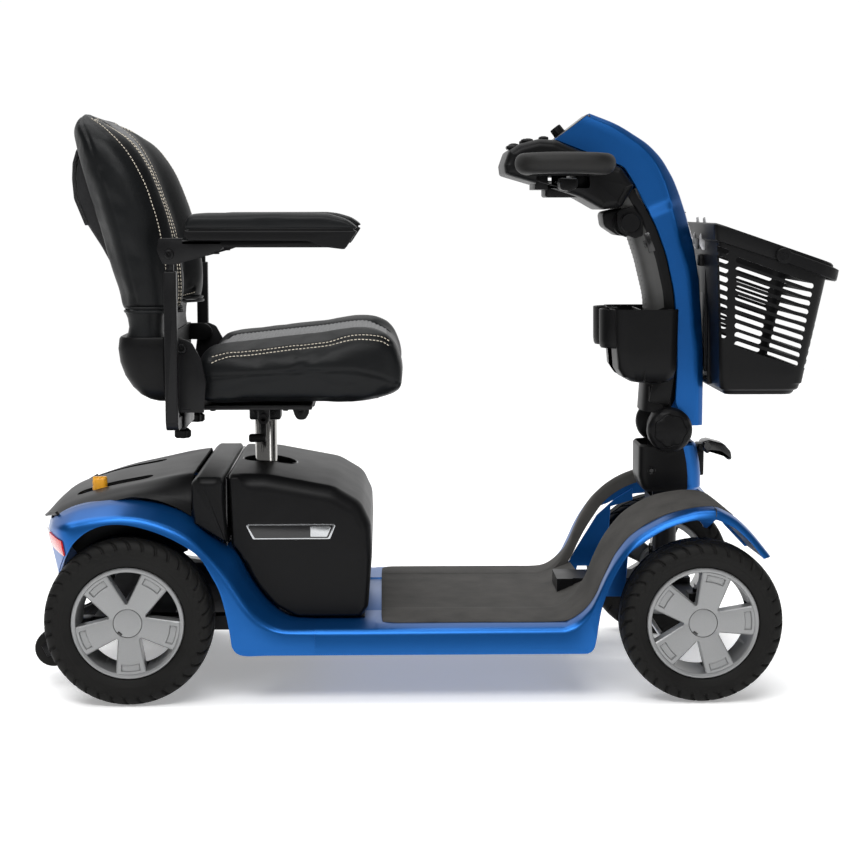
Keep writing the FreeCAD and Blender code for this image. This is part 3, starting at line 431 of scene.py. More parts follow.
RED = material("red_lens", (0.55, 0.015, 0.012), 0.16, specular=0.6, vary=0.08, scale=200,
               coat=0.6, coat_rough=0.08, bump=(("cells", 260, 0.3, 0.001),))
CLEAR = material("clear_lens", (0.72, 0.70, 0.70), 0.14, specular=0.6, vary=0.06, scale=200,
                 coat=0.6, coat_rough=0.06, bump=(("cells", 260, 0.25, 0.001),))
BRASS = material("brass", (0.55, 0.42, 0.27), 0.3, metal=0.85, vary=0.1, scale=200,
                 bump=(("noise", 900, 0.15, 0.0003),))
CASE = material("battery_case", (0.03, 0.03, 0.034), 0.5, vary=0.1, scale=40,
                bump=(("noise", 700, 0.2, 0.0003),))
BADGE = material("badge_silver", (0.42, 0.43, 0.44), 0.22, metal=0.9, vary=0.05, scale=60,
                 rough_vary=0.05)

CAD_LOOK = {
    BLUE: "rear_shroud floor_pan tiller_front_cover",
    PLASTIC: "rear_cover mid_cover battery_pod lower_shroud tiller_rear_cover hinge_knobs "
             "glove_box console tilt_lever throttle speed_dial horn_button basket "
             "basket_handle backrest_shell swivel_lever",
    STEEL: "rear_frame front_frame anti_tip_bracket knuckle_left knuckle_right steering_shaft "
           "tiller_frame seat_pan arm_post_left arm_post_right arm_bracket_left "
           "arm_bracket_right",
    ZINC: "track_rod basket_bracket swivel_block",
    MAT: "floor_mat",
    TYRE: "front_tyre_left front_tyre_right rear_tyre_left rear_tyre_right "
          "anti_tip_wheel_left anti_tip_wheel_right",
    SILVER: "front_rim_left front_rim_right rear_rim_left rear_rim_right",
    CASTING: "transaxle drive_motor",
    CASE: "battery_left battery_right",
    LEATHER: "seat_cushion backrest_cushion arm_pad_left arm_pad_right",
    SKIRT: "seat_pocket", CHROME: "seat_post", YELLOW: "freewheel_lever", RED: "tail_lights",
    CLEAR: "headlight", GRIP: "handlebar", BRASS: "key",
}
for look, names in CAD_LOOK.items():
    for node_name in names.split():
        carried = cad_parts[node_name]
        carried.data.materials.clear()
        carried.data.materials.append(look)


# ------------------------------------------------------------------ camera, light and floor

def plane(name, corners, mat):
    mesh = bpy.data.meshes.new(name)
    mesh.from_pydata(corners, [], [tuple(range(len(corners)))])
    mesh.materials.append(mat)
    made = bpy.data.objects.new(name, mesh)
    bpy.context.scene.collection.objects.link(made)
    return made


def softbox(name, place, target, width, height, power, colour=(1, 1, 1)):
    lamp = bpy.data.lights.new(name, "AREA")
    lamp.shape = "RECTANGLE"
    lamp.size, lamp.size_y = width, height
    lamp.energy = power
    lamp.color = colour
    made = bpy.data.objects.new(name, lamp)
    made.location = place
    made.rotation_euler = (Vector(target) - Vector(place)).to_track_quat("-Z", "Y").to_euler()
    bpy.context.scene.collection.objects.link(made)
    return made


scene = bpy.context.scene
scene.view_settings.view_transform = "Standard"
scene.view_settings.look = "None"
camera_data = bpy.data.cameras.new("camera")
camera_data.sensor_width = 36.0
camera_data.lens = 78.3
camera_data.clip_end = 60.0
camera = bpy.data.objects.new("camera", camera_data)
camera.location = (-0.0789, -3.2327, 0.7987)
camera.rotation_euler = (math.radians(90 - 6.76), 0, math.radians(-1.43))
scene.collection.objects.link(camera)
scene.camera = camera

GLOW = bpy.data.materials.new("backdrop")
GLOW.use_nodes = True
GLOW.node_tree.nodes.clear()
glow = GLOW.node_tree.nodes.new("ShaderNodeEmission")
glow.inputs["Strength"].default_value = 1.02
glow_out = GLOW.node_tree.nodes.new("ShaderNodeOutputMaterial")
GLOW.node_tree.links.new(glow.outputs["Emission"], glow_out.inputs["Surface"])
plane("backdrop", [(-12, 6, 0), (12, 6, 0), (12, 6, 9), (-12, 6, 9)], GLOW)
PAPER = material("paper", (0.93, 0.93, 0.93), 0.9, specular=0.1, vary=0.005, scale=3)
shade = PAPER.node_tree.nodes["Principled BSDF"]
shade.inputs["Emission Color"].default_value = (1, 1, 1, 1)
shade.inputs["Emission Strength"].default_value = 0.3
plane("floor", [(-12, -8, 0), (12, -8, 0), (12, 6, 0), (-12, 6, 0)], PAPER)
world = bpy.data.worlds.new("studio")
world.use_nodes = True
world.node_tree.nodes["Background"].inputs["Color"].default_value = (1, 1, 1, 1)
world.node_tree.nodes["Background"].inputs["Strength"].default_value = 0.15
scene.world = world
sky = bpy.data.lights.new("sky", "SUN")
sky.energy = 2.5
sky.angle = math.radians(60)
sky_object = bpy.data.objects.new("sky", sky)
sky_object.rotation_euler = (math.radians(-8), math.radians(-8), 0)
scene.collection.objects.link(sky_object)
softbox("key", (-0.5, -2.4, 2.8), (0, 0, 0.5), 2.6, 1.2, 80)
softbox("fill", (2.6, -2.6, 1.2), (0.1, 0, 0.4), 0.9, 1.6, 9)


# ------------------------------------------------------------------ wheels

def smooth_step(value, low, high):
    t = np.clip((value - low) / (high - low), 0, 1)
    return t * t * (3 - 2 * t)


def tyre(name, body, x, y, z, outer, pitches, replaced):
    """Pneumatic tyre: sidewall rings, scalloped shoulder blocks and a zigzag tread."""
    out = 1 if y > 0 else -1
    section = [(90.5, 30), (92, 36), (97, 39.5), (103, 42.2), (105, 43.2), (106.5, 42.6),
               (111, 43.6), (outer - 16, 43.2), (outer - 9, 40.5), (outer - 4.5, 36),
               (outer - 1.8, 29), (outer - 0.5, 20), (outer, 10)]
    half = spline(section, 44)
    profile = np.vstack([half * [1, -1], half[::-1]])
    count = 720
    turn = np.linspace(0, 2 * math.pi, count, endpoint=False)[:, None]
    radius, across = profile[None, :, 0], profile[None, :, 1]
    side = np.abs(across)
    cell = (turn * pitches / (2 * math.pi)) % 1.0
    lean = (turn * pitches / (2 * math.pi) + (side - 20) * 0.035) % 1.0
    wave = np.abs(cell - 0.5) * 2
    groove = 1 - smooth_step(np.abs(side - 13 - 5 * wave), 1.2, 3.0)
    lateral = 1 - smooth_step(np.abs(lean - 0.5), 0.05, 0.13)
    lateral = lateral * smooth_step(side, 15, 19)
    low = outer - 15 - 7 * np.abs(lean - 0.5) * 2
    shoulder = smooth_step(radius, low, low + 1.6)
    centre = 1 - smooth_step(np.abs(((cell + 0.25) % 1.0) - 0.5), 0.05, 0.12)
    centre = centre * (1 - smooth_step(side, 6, 10))
    depth = 3.4 * np.maximum(np.maximum(groove * (side < 26), lateral * shoulder), centre * 0.8)
    scallop = 1.5 * shoulder * smooth_step(side, 26, 34) * (1 - lateral)
    reach = radius - np.where(side < 30, depth, depth * 0.55)
    width = across + np.sign(across) * (scallop - 1.2 - np.where(side >= 30, depth * 0.5, 0))
    width = np.clip(width, -43.9, 43.9)
    rows = np.stack([x + reach * np.cos(turn), y + out * width + 0 * turn,
                     z + reach * np.sin(turn)], axis=2)
    made = Solid().grid([[tuple(p) for p in row] for row in rows], along=True)
    piece(name, made, body, TYRE, (replaced,), angle=50)


def spoke_half_angle(r):
    """Half the angle that one spoke covers at a radius, in radians."""
    apex, tip = 31.0, 83.5
    full, narrow = math.radians(36), math.radians(16.8)
    if r <= apex:
        return full
    a = np.array([apex * math.cos(full - 0.035), apex * math.sin(full - 0.035)])
    b = np.array([tip * math.cos(narrow), tip * math.sin(narrow)])
    d = b - a
    c = a @ a - r * r
    t = (-(a @ d) + math.sqrt(max((a @ d) ** 2 - (d @ d) * c, 0))) / (d @ d)
    p = a + d * t
    return math.atan2(p[1], p[0])


def rim(name, body, x, y, z, first, replaced, axle):
    """Five-spoke cover with a recess near the end of each spoke, barrel, hub and cap."""
    out = 1 if y > 0 else -1
    face = 36.0

    def put(r, t, h):
        return (x + r * math.cos(t), y + out * h, z + r * math.sin(t))

    def crown(r, s):
        """Height of the cover: dished at the hub, a little crowned across a spoke."""
        return face - 3.2 * (1 - min(r / 84, 1)) ** 2 - 0.9 * s * s

    made = Solid()
    radii = [23.6, 25, 27.5, 31, 31.6, 34, 40, 47, 54, 61, 67.5, 69, 73.5, 78, 79.5, 83.5]
    for k in range(5):
        mid = math.radians(first + 72 * k)
        rows, lower = [], []
        for r in radii:
            half = spoke_half_angle(r)
            row = []
            for i in range(-12, 13):
                s = i / 12
                h = crown(r, s)
                arc = abs(s) * half * r
                if r > 31 and abs(s) > 0.999:
                    h -= 1.4
                if 69 <= r <= 78 and arc < 14.5:
                    h -= 3.2
                row.append(put(r, mid + s * half, h))
            rows.append(row)
            if r >= 31:
                lower.append((put(r, mid - half, crown(r, 1) - 1.4),
                              put(r, mid - half * 0.985, 8),
                              put(r, mid + half, crown(r, 1) - 1.4),
                              put(r, mid + half * 0.985, 8)))
        made.grid(rows)
        made.grid([[p[0], p[1]] for p in lower])
        made.grid([[p[2], p[3]] for p in lower])
    rows = []
    for i in range(180):
        t = 2 * math.pi * i / 180
        beyond = abs((t - math.radians(first) + math.radians(36)) % math.radians(72)
                     - math.radians(36))
        open_here = smooth_step(beyond, spoke_half_angle(83.5) - 0.01,
                                spoke_half_angle(83.5) + 0.02)
        inner = 83.5
        lip = [(80.0, -28), (82.6, 10), (inner, face - 1.6), (inner + 0.8, face - 0.4),
               (87.5, face + 0.9), (89.6, face + 0.6), (90.8, face - 1.0), (90.8, face - 7)]
        start = 0 if open_here > 0.2 else 2
        ring = [put(r, t, h) for r, h in lip]
        if start:
            ring[0], ring[1] = ring[2], ring[2]
        rows.append(ring)
    made.grid(rows, along=True)
    hub = [(5, -30), (24, -30), (26, -20), (26, 8), (31, 12), (31, 20), (23.6, face - 3.4)]
    made.lathe(hub, (x, y, z), (0, out, 0), 48)
    made.lathe([(80, -28), (83, -30), (88.5, -31), (90.8, -34), (90.8, -30), (84, -26),
                (80.4, -24)], (x, y, z), (0, out, 0), 96)
    cap = [(22.9, face - 5), (22.9, face - 2.2), (22.2, face - 1.4), (18, face - 0.9),
           (9, face - 0.6), (0.01, face - 0.5)]
    made.lathe(cap, (x, y, z), (0, out, 0), 64)
    made.mat = 1
    made.lathe([(22.9, face - 6), (23.6, face - 6), (23.6, face - 3.2)], (x, y, z),
               (0, out, 0), 64)
    notch = math.radians(232)
    centre = (x + 20.2 * math.cos(notch), y + out * (face - 1.2), z + 20.2 * math.sin(notch))
    turned = Matrix.Rotation(-(notch + math.radians(90)), 4, "Y")
    made.block((-4, 4), (-1.2, 1.0), (-1.8, 1.8), 0.5,
               place=lambda a, b, c: tuple(Vector(centre) + turned @ Vector((a, b, c))))
    made.mat = 2
    if axle:
        made.lathe([(10, -30), (10, -150), (0.01, -150)], (x, y, z), (0, out, 0), 32)
    piece(name, made, body, (SILVER, GLOSS, STEEL), (replaced,), angle=30)


for end, wheel_x, wheel_z, outer, pitches, first in (("front", 428, 132, 132, 34, 3),
                                                     ("rear", -500, 136.5, 136.5, 36, 57)):
    for side_name, side in (("left", 1), ("right", -1)):
        wheel = f"{end}_wheel_{side_name}"
        tyre(f"{wheel}_tyre", wheel, wheel_x, side * 242, wheel_z, outer, pitches,
             f"{end}_tyre_{side_name}")
        rim(f"{wheel}_rim", wheel, wheel_x, side * 242, wheel_z, first,
            f"{end}_rim_{side_name}", end == "rear")


# ------------------------------------------------------------------ painted body

def cut(made, tool, name="cutter"):
    """Take a solid away from a finished piece."""
    mesh = bpy.data.meshes.new(name)
    mesh.from_pydata([metres(*v) for v in tool.verts], [], tool.faces)
    sharpen(mesh, 30)
    cutter = bpy.data.objects.new(name, mesh)
    bpy.context.scene.collection.objects.link(cutter)
    modifier = made.modifiers.new("cut", "BOOLEAN")
    modifier.operation = "DIFFERENCE"
    modifier.solver = "EXACT"
    modifier.object = cutter
    apply_modifiers(made)
    bpy.data.objects.remove(cutter)
    sharpen(made.data, 32)
    return made


def weave(stations, count):
    """Smooth matching curves through stations that each hold the same list of 3D points."""
    guides = np.array(stations, float)
    return np.stack([spline(guides[:, k], count) for k in range(guides.shape[1])], axis=1)


def band_section(a, b, c, ya, yb, yc, under):
    """Seam, crease and lower edge of the band, as a rounded section with a turned-in lip."""
    a, b, c = (np.array((p[0], y, p[1]), float) for p, y in ((a, ya), (b, yb), (c, yc)))
    toward_a = (a - b) / np.linalg.norm(a - b)
    toward_c = (c - b) / np.linalg.norm(c - b)
    soft = min(11.0, 0.45 * np.linalg.norm(c - b), 0.45 * np.linalg.norm(a - b))
    p1, p3 = b + toward_a * soft, b + toward_c * soft
    arc = [(1 - t) ** 2 * p1 + 2 * t * (1 - t) * b + t * t * p3 for t in np.linspace(0, 1, 8)]
    turned = math.radians(90 * min(1.0, abs(ya) / 200))
    into = np.array((math.cos(turned), math.sin(turned), 0))
    tuck = a + into * under + toward_a * 3.0
    lip = c + into * 3.0 + np.array((0, 0, 0.5))
    lip2 = c + into * 26.0 + np.array((0, 0, 2.5))
    edge = c + (b - c) / np.linalg.norm(b - c) * 2.5
    mid = (a + p1) / 2 + np.array((0, -0.6, 1.2))
    return [tuck, a + np.array((0, 1.5, -0.2)), a, mid] + arc + [edge, c + np.array((0, 0.6, 0)),
                                                               lip, lip2]


REAR_BAND = [
    ((-662, 276), (-668, 257), (-648, 172), 0, 0, 0),
    ((-654, 279), (-660, 259), (-641, 174), -70, -70, -70),
    ((-641, 286), (-647, 265), (-630, 183), -138, -140, -138),
    ((-631, 294), (-637, 273), (-622, 198), -186, -192, -188),
    ((-623, 301), (-628, 284), (-612, 218), -206, -228, -222),
    ((-613, 307), (-612, 290), (-602, 236), -213, -258, -255),
    ((-602, 312), (-598, 295), (-593, 252), -216, -269, -272),
    ((-584, 318.5), (-581, 299), (-583, 268), -216, -270, -275),
    ((-556, 324.5), (-556, 304.5), (-563, 285), -216, -270, -275),
    ((-527, 328.5), (-528, 308), (-536, 295.5), -216, -270, -275),
    ((-498, 328.5), (-500, 308.5), (-503, 296.5), -216, -270, -275),
    ((-465, 324.5), (-466, 303), (-468, 289), -216, -270, -275),
    ((-430, 315.5), (-430, 290), (-434, 276), -216, -270, -275),
    ((-402, 302), (-398, 272), (-405, 260), -216, -270, -275),
    ((-376, 277), (-372, 247), (-382, 241), -216, -270, -275),
    ((-347, 254), (-351, 222), (-364, 211), -216, -270, -275),
    ((-328, 237), (-337, 202), (-353, 189), -216, -270, -275),
    ((-312, 206), (-321, 177), (-346, 165), -216, -270, -275),
    ((-297, 182), (-305, 153), (-340, 138), -216, -270, -275),
    ((-281, 161), (-288, 137), (-336, 114), -216, -270, -275),
    ((-263, 144), (-268, 126), (-332, 93), -216, -270, -275),
    ((-248, 135), (-252, 122), (-316, 82), -216, -270, -275),
    ((-232, 131), (-235, 121.5), (-272, 82), -216, -270, -275),
    ((-200, 129), (-200, 122), (-200, 82), -216, -270, -275),
]

band = Solid()
sections = weave([band_section(*row, 40.0) for row in REAR_BAND], 132)
sections[-1][:, 0] = -200.0
right = [[tuple(p) for p in row] for row in sections]
left = [[(x, -y, z) for x, y, z in row] for row in reversed(right[1:])]
band.grid(left + right)
piece("rear_shroud_band", band, "chassis", BLUE, ("rear_shroud",), angle=40,
      modifiers=[("SOLIDIFY", {"thickness": 0.0035, "offset": -1.0})])

# deck tray: closed middle with the same outer band on both sides
DECK_BAND = [
    ((-200, 129), (-200, 122), (-200, 82), -216),
    ((-110, 128), (-110, 122), (-110, 82), -216),
    ((-90, 127), (-90, 122), (-90, 82), -232),
    ((60, 127), (60, 122.5), (60, 82), -236),
    ((195, 127), (195, 123), (195, 82), -238),
    ((214, 130), (211, 125), (216, 82), -239),
    ((228, 138), (224, 130), (232, 82), -240),
    ((240, 148), (235, 140), (244, 83), -240),
    ((251, 161), (246, 153), (252, 91), -240),
    ((260, 177), (254, 169), (256, 108), -240),
    ((266, 192), (262, 186), (259, 130), -240),
    ((276, 214), (271, 206), (264, 157), -240),
    ((288, 238), (284, 228), (274, 187), -240),
    ((304, 260), (300, 250), (288, 217), -240),
    ((320, 275), (316, 267), (306, 245), -240),
    ((338, 287), (335, 281), (329, 263), -240),
    ((370, 303), (367, 299), (362, 284), -240),
    ((402, 312), (400, 310), (397, 297), -240),
    ((425, 316), (424, 315), (422, 301), -240),
    ((448, 317), (448, 315.5), (446, 301), -240),
    ((465, 311), (464, 309), (461, 295), -240),
    ((482, 301), (481, 299), (477, 287), -240),
    ((498, 287), (497, 285), (491, 275), -240),
    ((514, 270), (513, 268), (506, 260), -240),
    ((537.5, 240), (537.5, 239), (524.5, 236.5), -240),
]
INNER = [(-200, 127), (-110, 127), (-90, 127), (60, 127), (195, 128), (214, 134),
         (230, 148), (243, 166), (252, 186), (262, 212), (267, 225), (274, 238), (288, 261),
         (310, 287), (322, 297), (336, 305), (366, 318), (400, 324), (425, 325), (447, 321),
         (463, 308), (478, 296), (494, 282), (510, 266), (534, 238)]


def arm_section(row, inner):
    a, b, c, ya = row
    front = band_section(a, b, c, ya, -268, -275, 14.0)[2:-1]
    a3 = np.array((a[0], ya, a[1]), float)
    i3 = np.array((inner[0], -141.0, inner[1]), float)
    steep = np.array((c[0] - a[0], 0, c[1] - a[1]), float)
    steep /= np.linalg.norm(steep)
    deep = 44.0 if inner[0] > 300 and a[0] < 470 else 16.0  # clear of the tyre at full lock
    wall = i3 + np.array((0, 2.5, 0)) + steep * 3
    foot = i3 + np.array((0, 3.0, 0)) + steep * deep
    foot2 = i3 + np.array((0, -5.0, 0)) + steep * deep
    c3 = np.array((c[0], -262.0, c[1]), float) - steep * 0.5
    across = [a3 * (1 - t) + i3 * t for t in (0.33, 0.66)]
    back = i3 + np.array((0, -5.0, 0)) + steep * min(deep - 4, 22)
    return front[::-1] + across + [i3, wall, foot, foot2, back, c3]


deck = Solid()
loft = weave([arm_section(row, inner) for row, inner in zip(DECK_BAND, INNER)], 150)
arm_rows = [[tuple(p) for p in row] for row in loft]
deck.grid(arm_rows, around=True, ends=(True, True))
deck.mirrored()
middle = rounded([(-200, 84), (244, 84, 10), (254, 96, 8), (256, 128, 14), (238, 139, 20),
                  (212, 126, 20), (-200, 125)])
deck.prism(middle, -139, 139, 1, 1, 2)
piece("deck_and_arms", deck, "chassis", BLUE, ("floor_pan",), angle=40)
inside = Solid().prism([(247, 120), (258, 116), (266, 148), (318, 148), (326, 258), (366, 270),
                        (366, 292), (334, 272), (301, 242), (262, 178), (247, 150)],
                       -138.5, -134.5, 0.5, 0.5, 1)
inside.mirrored()
piece("arm_inner_panels", inside, "chassis", BLUE)
joint = Solid()
joint.block((446.5, 447.8), (-272.5, -240), (301, 318), 0.3)
joint.mirrored()
piece("arm_joint_lines", joint, "chassis", GLOSS)

# rubber mat: a sheet over the deck that splits and climbs both arms
MAT_EDGE = [(-90, 128), (-40, 128), (60, 128), (150, 128), (192, 128.5), (212, 131), (226, 138),
            (239, 148.5), (251, 162), (260, 179), (270, 203), (282, 229), (302, 259),
            (334, 287), (368, 304), (402, 313.5), (430, 317.5), (452, 316.5), (468, 309),
            (481, 300)]
MAT_RIDGE = [(-92, 132), (-40, 132), (60, 132), (150, 132), (190, 132.5), (212, 139),
             (228, 152), (241, 170), (252, 191), (262, 217), (274, 243), (288, 266),
             (310, 292), (336, 310), (366, 323), (400, 329.5), (425, 330.5), (447, 326.5),
             (464, 314), (476, 301)]
MAT_FOOT = [(-90, 127), (-40, 127), (60, 127), (150, 127), (195, 127), (216, 133), (232, 143),
            (246, 153), (256, 168), (265, 188), (277, 212), (291, 235), (313, 266), (339, 287),
            (369, 301), (400, 309), (425, 311), (446, 309), (462, 301), (473, 291)]


def mat_section(edge, ridge, foot):
    e = np.array((edge[0], 0, edge[1]), float)
    r = np.array((ridge[0], 0, ridge[1]), float)
    f = np.array((foot[0], 0, foot[1]), float)
    down = np.array((f[0] - r[0], 0, f[2] - r[2]))
    down /= max(np.linalg.norm(down), 1e-6)
    rows = []
    for y, part, lift in ((-237.6, 0.0, -4.5), (-238.2, 0.0, -0.6), (-236.6, 0.01, 1.2),
                          (-231, 0.05, 2.2), (-218, 0.16, 2.8), (-195, 0.4, 3.0),
                          (-172, 0.66, 2.6), (-156, 0.85, 1.8), (-146, 0.97, 0.8)):
        rows.append(e * (1 - part) + r * part - down * lift + np.array((0, y, 0)))
    rows.append(r + down * 1.6 + np.array((0, -139.5, 0)))
    rows.append(r * 0.72 + f * 0.28 + np.array((0, -136.2, 0)))
    rows.append(f + np.array((0, -134.8, 0)))
    return rows


mat = Solid()
climb = weave([mat_section(*row) for row in zip(MAT_EDGE, MAT_RIDGE, MAT_FOOT)], 150)
for row in climb:
    near_end = max(0.0, 1 - (row[0][0] + 90) / 26.0)
    if near_end > 0:
        for p in row:
            outer = max(0.0, (abs(p[1]) - 214) / 24.0)
            p[1] += 9.0 * near_end ** 2 * outer
            p[2] -= 3.0 * near_end ** 6
strip = [[tuple(p) for p in row] for row in climb]
mat.grid(strip)
mat.mirrored()
centre_rows = []
for row in climb:
    if row[-4][0] > 252:
        break
    x, z = row[-4][0], row[-4][2]
    z = min(z, 132 + max(0, x - 196) * 0.42)
    centre_rows.append([(x + 6 * (x > 200) * (1 - abs(y) / 146), y, z)
                        for y in np.linspace(-147, 147, 15)])
mat.grid(centre_rows)
piece("deck_mat", mat, "chassis", MAT, ("floor_mat",), angle=50,
      modifiers=[("SOLIDIFY", {"thickness": 0.004, "offset": -1.0})])


# ------------------------------------------------------------------ black covers

POD = rounded([(-343, 368, 8), (-279, 367, 60), (-168, 346, 60), (-125, 320, 34),
               (-109, 285, 34), (-107, 240, 200), (-114, 146, 16), (-125, 128.5, 12),
               (-231, 128.5, 20), (-269, 149, 60), (-296, 181, 60), (-311, 205, 60),
               (-326, 237, 20), (-338, 252, 6), (-341, 326, 60)], 8)


def rim_radius(outline, upper, lower, level, spread):
    """A larger rounding above a level than below it."""
    t = smooth_step(np.array(outline)[:, 1], level - spread, level + spread)
    return lower + (upper - lower) * t


def anticlockwise(outline):
    return outline if turning(outline) else outline[::-1]


POD = anticlockwise(even(POD, 220, closed=True))
pod_rim = rim_radius(POD, 27, 9, 270, 90)
pod_rim = safe_rim(POD, np.where(POD[:, 0] < -322, np.minimum(pod_rim, 6), pod_rim))
pod = Solid().prism(POD, -215, 215, pod_rim, pod_rim, 9)
pod_piece = piece("battery_pod_cover", pod, "chassis", PLASTIC,
                  ("battery_pod",), angle=28)
well = rounded([(-292 - 38, 35, 32), (-292 - 38, -35, 32), (-292 + 52, -35, 32),
                (-292 + 52, 35, 32)], 10)
shaft = Solid().grid([[(x, y, 420) for x, y in well], [(x, y, 150) for x, y in well]],
                     around=True, ends=(True, True))
cut(pod_piece, shaft)
collar = Solid()
ring = rounded([(-292 - 40, 37, 34), (-292 - 40, -37, 34), (-292 + 54, -37, 34),
                (-292 + 54, 37, 34)], 10)
path = [(x, y, 366.6 - max(0, (x + 279)) * 0.19) for x, y in ring]
collar.tube(path, 1.6, 8, closed=True)
piece("pod_well_rim", collar, "chassis", GLOSS)

# blank trapezoid badge on each side of the pod
badge = Solid()
for grow, y, mat_index in ((0.0, -215.9, 1), (-3.0, -216.5, 0)):
    badge.mat = mat_index
    plate = rounded([(-314 - grow, 287 + grow * 0.6, 3), (-302 - grow, 262 - grow * 0.6, 3),
                     (-176 + grow, 262 - grow * 0.6, 3), (-166 + grow, 287 + grow * 0.6, 3)], 4)
    badge.prism(plate, y, -214.6, 0.5, 0, 2)
badge.mat = 1
badge.prism(rounded([(-208, 283, 1), (-208, 266, 1), (-181, 266, 2), (-174, 283, 2)], 3),
            -216.9, -214.6, 0.3, 0, 2)
badge.mirrored()
piece("pod_badges", badge, "chassis", (GLOSS, BADGE))

# cover bridging the pod and the rear cover
MID = anticlockwise(even(rounded([
    (-396, 290, 3), (-400, 320, 30), (-400, 358, 9), (-390, 366, 9), (-352, 366, 5),
    (-347, 358, 3), (-347, 326), (-341.5, 256, 3)], 6), 150, closed=True))
mid_rim = rim_radius(MID, 14, 5, 322, 30)
mid_rim = safe_rim(MID, np.where((MID[:, 0] > -356) | (MID[:, 0] < -390),
                                 np.minimum(mid_rim, 5), mid_rim))
mid = Solid().prism(MID, -233, 233, mid_rim, mid_rim, 6)
piece("mid_cover_shell", mid, "chassis", PLASTIC, ("mid_cover",), angle=28)
seam = Solid()
seam.block((-346.6, -343.4), (-210, 210), (250, 362), 1)
piece("mid_seam", seam, "chassis", GLOSS)

# rear cover: crowned shell that rounds down to the painted band
COVER_TOP = spline([(0, 361), (0.07, 357.5), (0.2, 350), (0.37, 341), (0.6, 329), (0.84, 311),
                    (0.95, 299), (1.0, 290)], 60)
COVER_EDGE = spline([(0, 301), (0.12, 315.5), (0.28, 327), (0.5, 329), (0.8, 320),
                     (0.95, 308), (1.0, 302)], 60)


COVER_FRONT, COVER_TAIL, COVER_FLANK = -401.5, -662, 213


def cover_back(y):
    """Rear edge of the cover, which draws in towards its corners."""
    return COVER_TAIL + 40 * min(1.0, abs(y) / COVER_FLANK) ** 3.0


def along_cover(x, y=0.0):
    """Share of the way from the cover's front edge to its rear edge."""
    return (x - COVER_FRONT) / (cover_back(y) - COVER_FRONT)


def cover_point(u, y, drop=0.0):
    """A point on the cover, u of the way back and drop below the skin."""
    top = float(np.interp(u, COVER_TOP[:, 0], COVER_TOP[:, 1]))
    edge = min(float(np.interp(u, COVER_EDGE[:, 0], COVER_EDGE[:, 1])), top - 8) + 0.6
    x = COVER_FRONT + u * (cover_back(y) - COVER_FRONT)
    t = min(1.0, max(0.0, (abs(y) - 158) / 59.0))
    fall = 1 - math.sqrt(max(0.0, 1 - t * t))
    lift = 4.0 * (1 - min(1.0, abs(y) / 190) ** 2) * u * (1 - u) * 4
    ridge = 3.0 * math.exp(-((abs(y) - 162) / 22.0) ** 2) * (1 - u) * min(1, u * 6)
    z = top + (edge - top) * fall + lift + ridge
    rim_z = 277 + 31 * min(1.0, abs(y) / 213) ** 2.2
    z += (rim_z - z) * max(0.0, (u - 0.88) / 0.12) ** 2
    return (x, y, z - drop)


columns = np.r_[np.linspace(-217, -158, 20), np.linspace(-150, 150, 31),
                np.linspace(158, 217, 20)]
cover = Solid()
upper = [[cover_point(u, y) for y in columns] for u in np.linspace(0, 1, 70)]
cover.grid(upper)
cover_piece = piece("rear_cover_shell", cover, "chassis", PLASTIC,
                    ("rear_cover",), angle=30,
                    modifiers=[("SOLIDIFY", {"thickness": 0.004, "offset": -1.0})])
for side in (1, -1):
    slot = rounded([(-603, side * 122, 14), (-603, side * 84, 14), (-476, side * 84, 17),
                    (-476, side * 122, 17)], 8)
    tool = Solid().grid([[(x, y, 420) for x, y in slot], [(x, y, 285) for x, y in slot]],
                        around=True, ends=(True, True))
    cut(cover_piece, tool)
lips = Solid()
for side in (1, -1):
    slot = even(rounded([(-604, side * 123, 15), (-604, side * 83, 15), (-475, side * 83, 18),
                         (-475, side * 123, 18)], 8), 90, closed=True)
    path = []
    for x, y in slot:
        path.append(cover_point(along_cover(x, y), y, -0.4))
    lips.tube(path, 1.7, 8, closed=True)
    path = []
    for x in np.linspace(-648, -412, 50):
        path.append(cover_point(along_cover(x), side * 52, -0.2))
    lips.tube(path, 0.9, 6)
piece("cover_slot_lips", lips, "chassis", PLASTIC)
pan = Solid()
for side in (1, -1):
    for span in ((-606, -590), (-548, -474)):  # the lever's stem passes between the two
        rows = []
        for x in np.linspace(*span, 12):
            base = cover_point(along_cover(x), 100)[2] - 24
            rows.append([(x, side * y, base + lift) for y, lift in
                         ((81, 18), (84, 5), (89.5, 0), (110.5, 0), (122, 5), (125, 18))])
        pan.grid(rows)
piece("slot_floors", pan, "chassis", GLOSS,
      modifiers=[("SOLIDIFY", {"thickness": 0.0015, "offset": -1.0})])

skirts = Solid().prism([(-610, 306), (-559, 318), (-498, 329), (-420, 343), (-410, 345),
                        (-410, 240), (-440, 228), (-585, 228), (-610, 262)], 190, 194)
skirts.mirrored()
piece("cover_skirts", skirts, "chassis", PLASTIC)

# drive release handle
lever = Solid()
lever.mat = 1
lever.block((-569, -563), (-103, -97), (186, 312), 1.2)
lever.lathe([(0.01, -12), (9, -12), (10, -11), (10, 11), (9, 12), (0.01, 12)],
            (-566, -100, 180), (0, 1, 0), 32)
lever.mat = 0
for k in range(3):
    x = -573 + k * 7.0
    lever.lathe([(0.01, 326), (4.2, 326), (5.6, 328), (5.6, 333), (4.9, 335), (5.6, 337),
                 (5.6, 342), (4.9, 344), (5.2, 347), (4.2, 350), (0.01, 350)],
                (x, -100, 0), (0, 0, 1), 20)
lever.block((-576, -556), (-106, -94), (311, 348), 3, 3)
piece("freewheel_handle", lever, "freewheel_lever", (YELLOW, STEEL),
      ("freewheel_lever",))

# tail lamps wrapped round the rear corners: clear inner part, red outer part
corner = sections[:[k for k, row in enumerate(sections) if row[11][1] < -264][0], :]


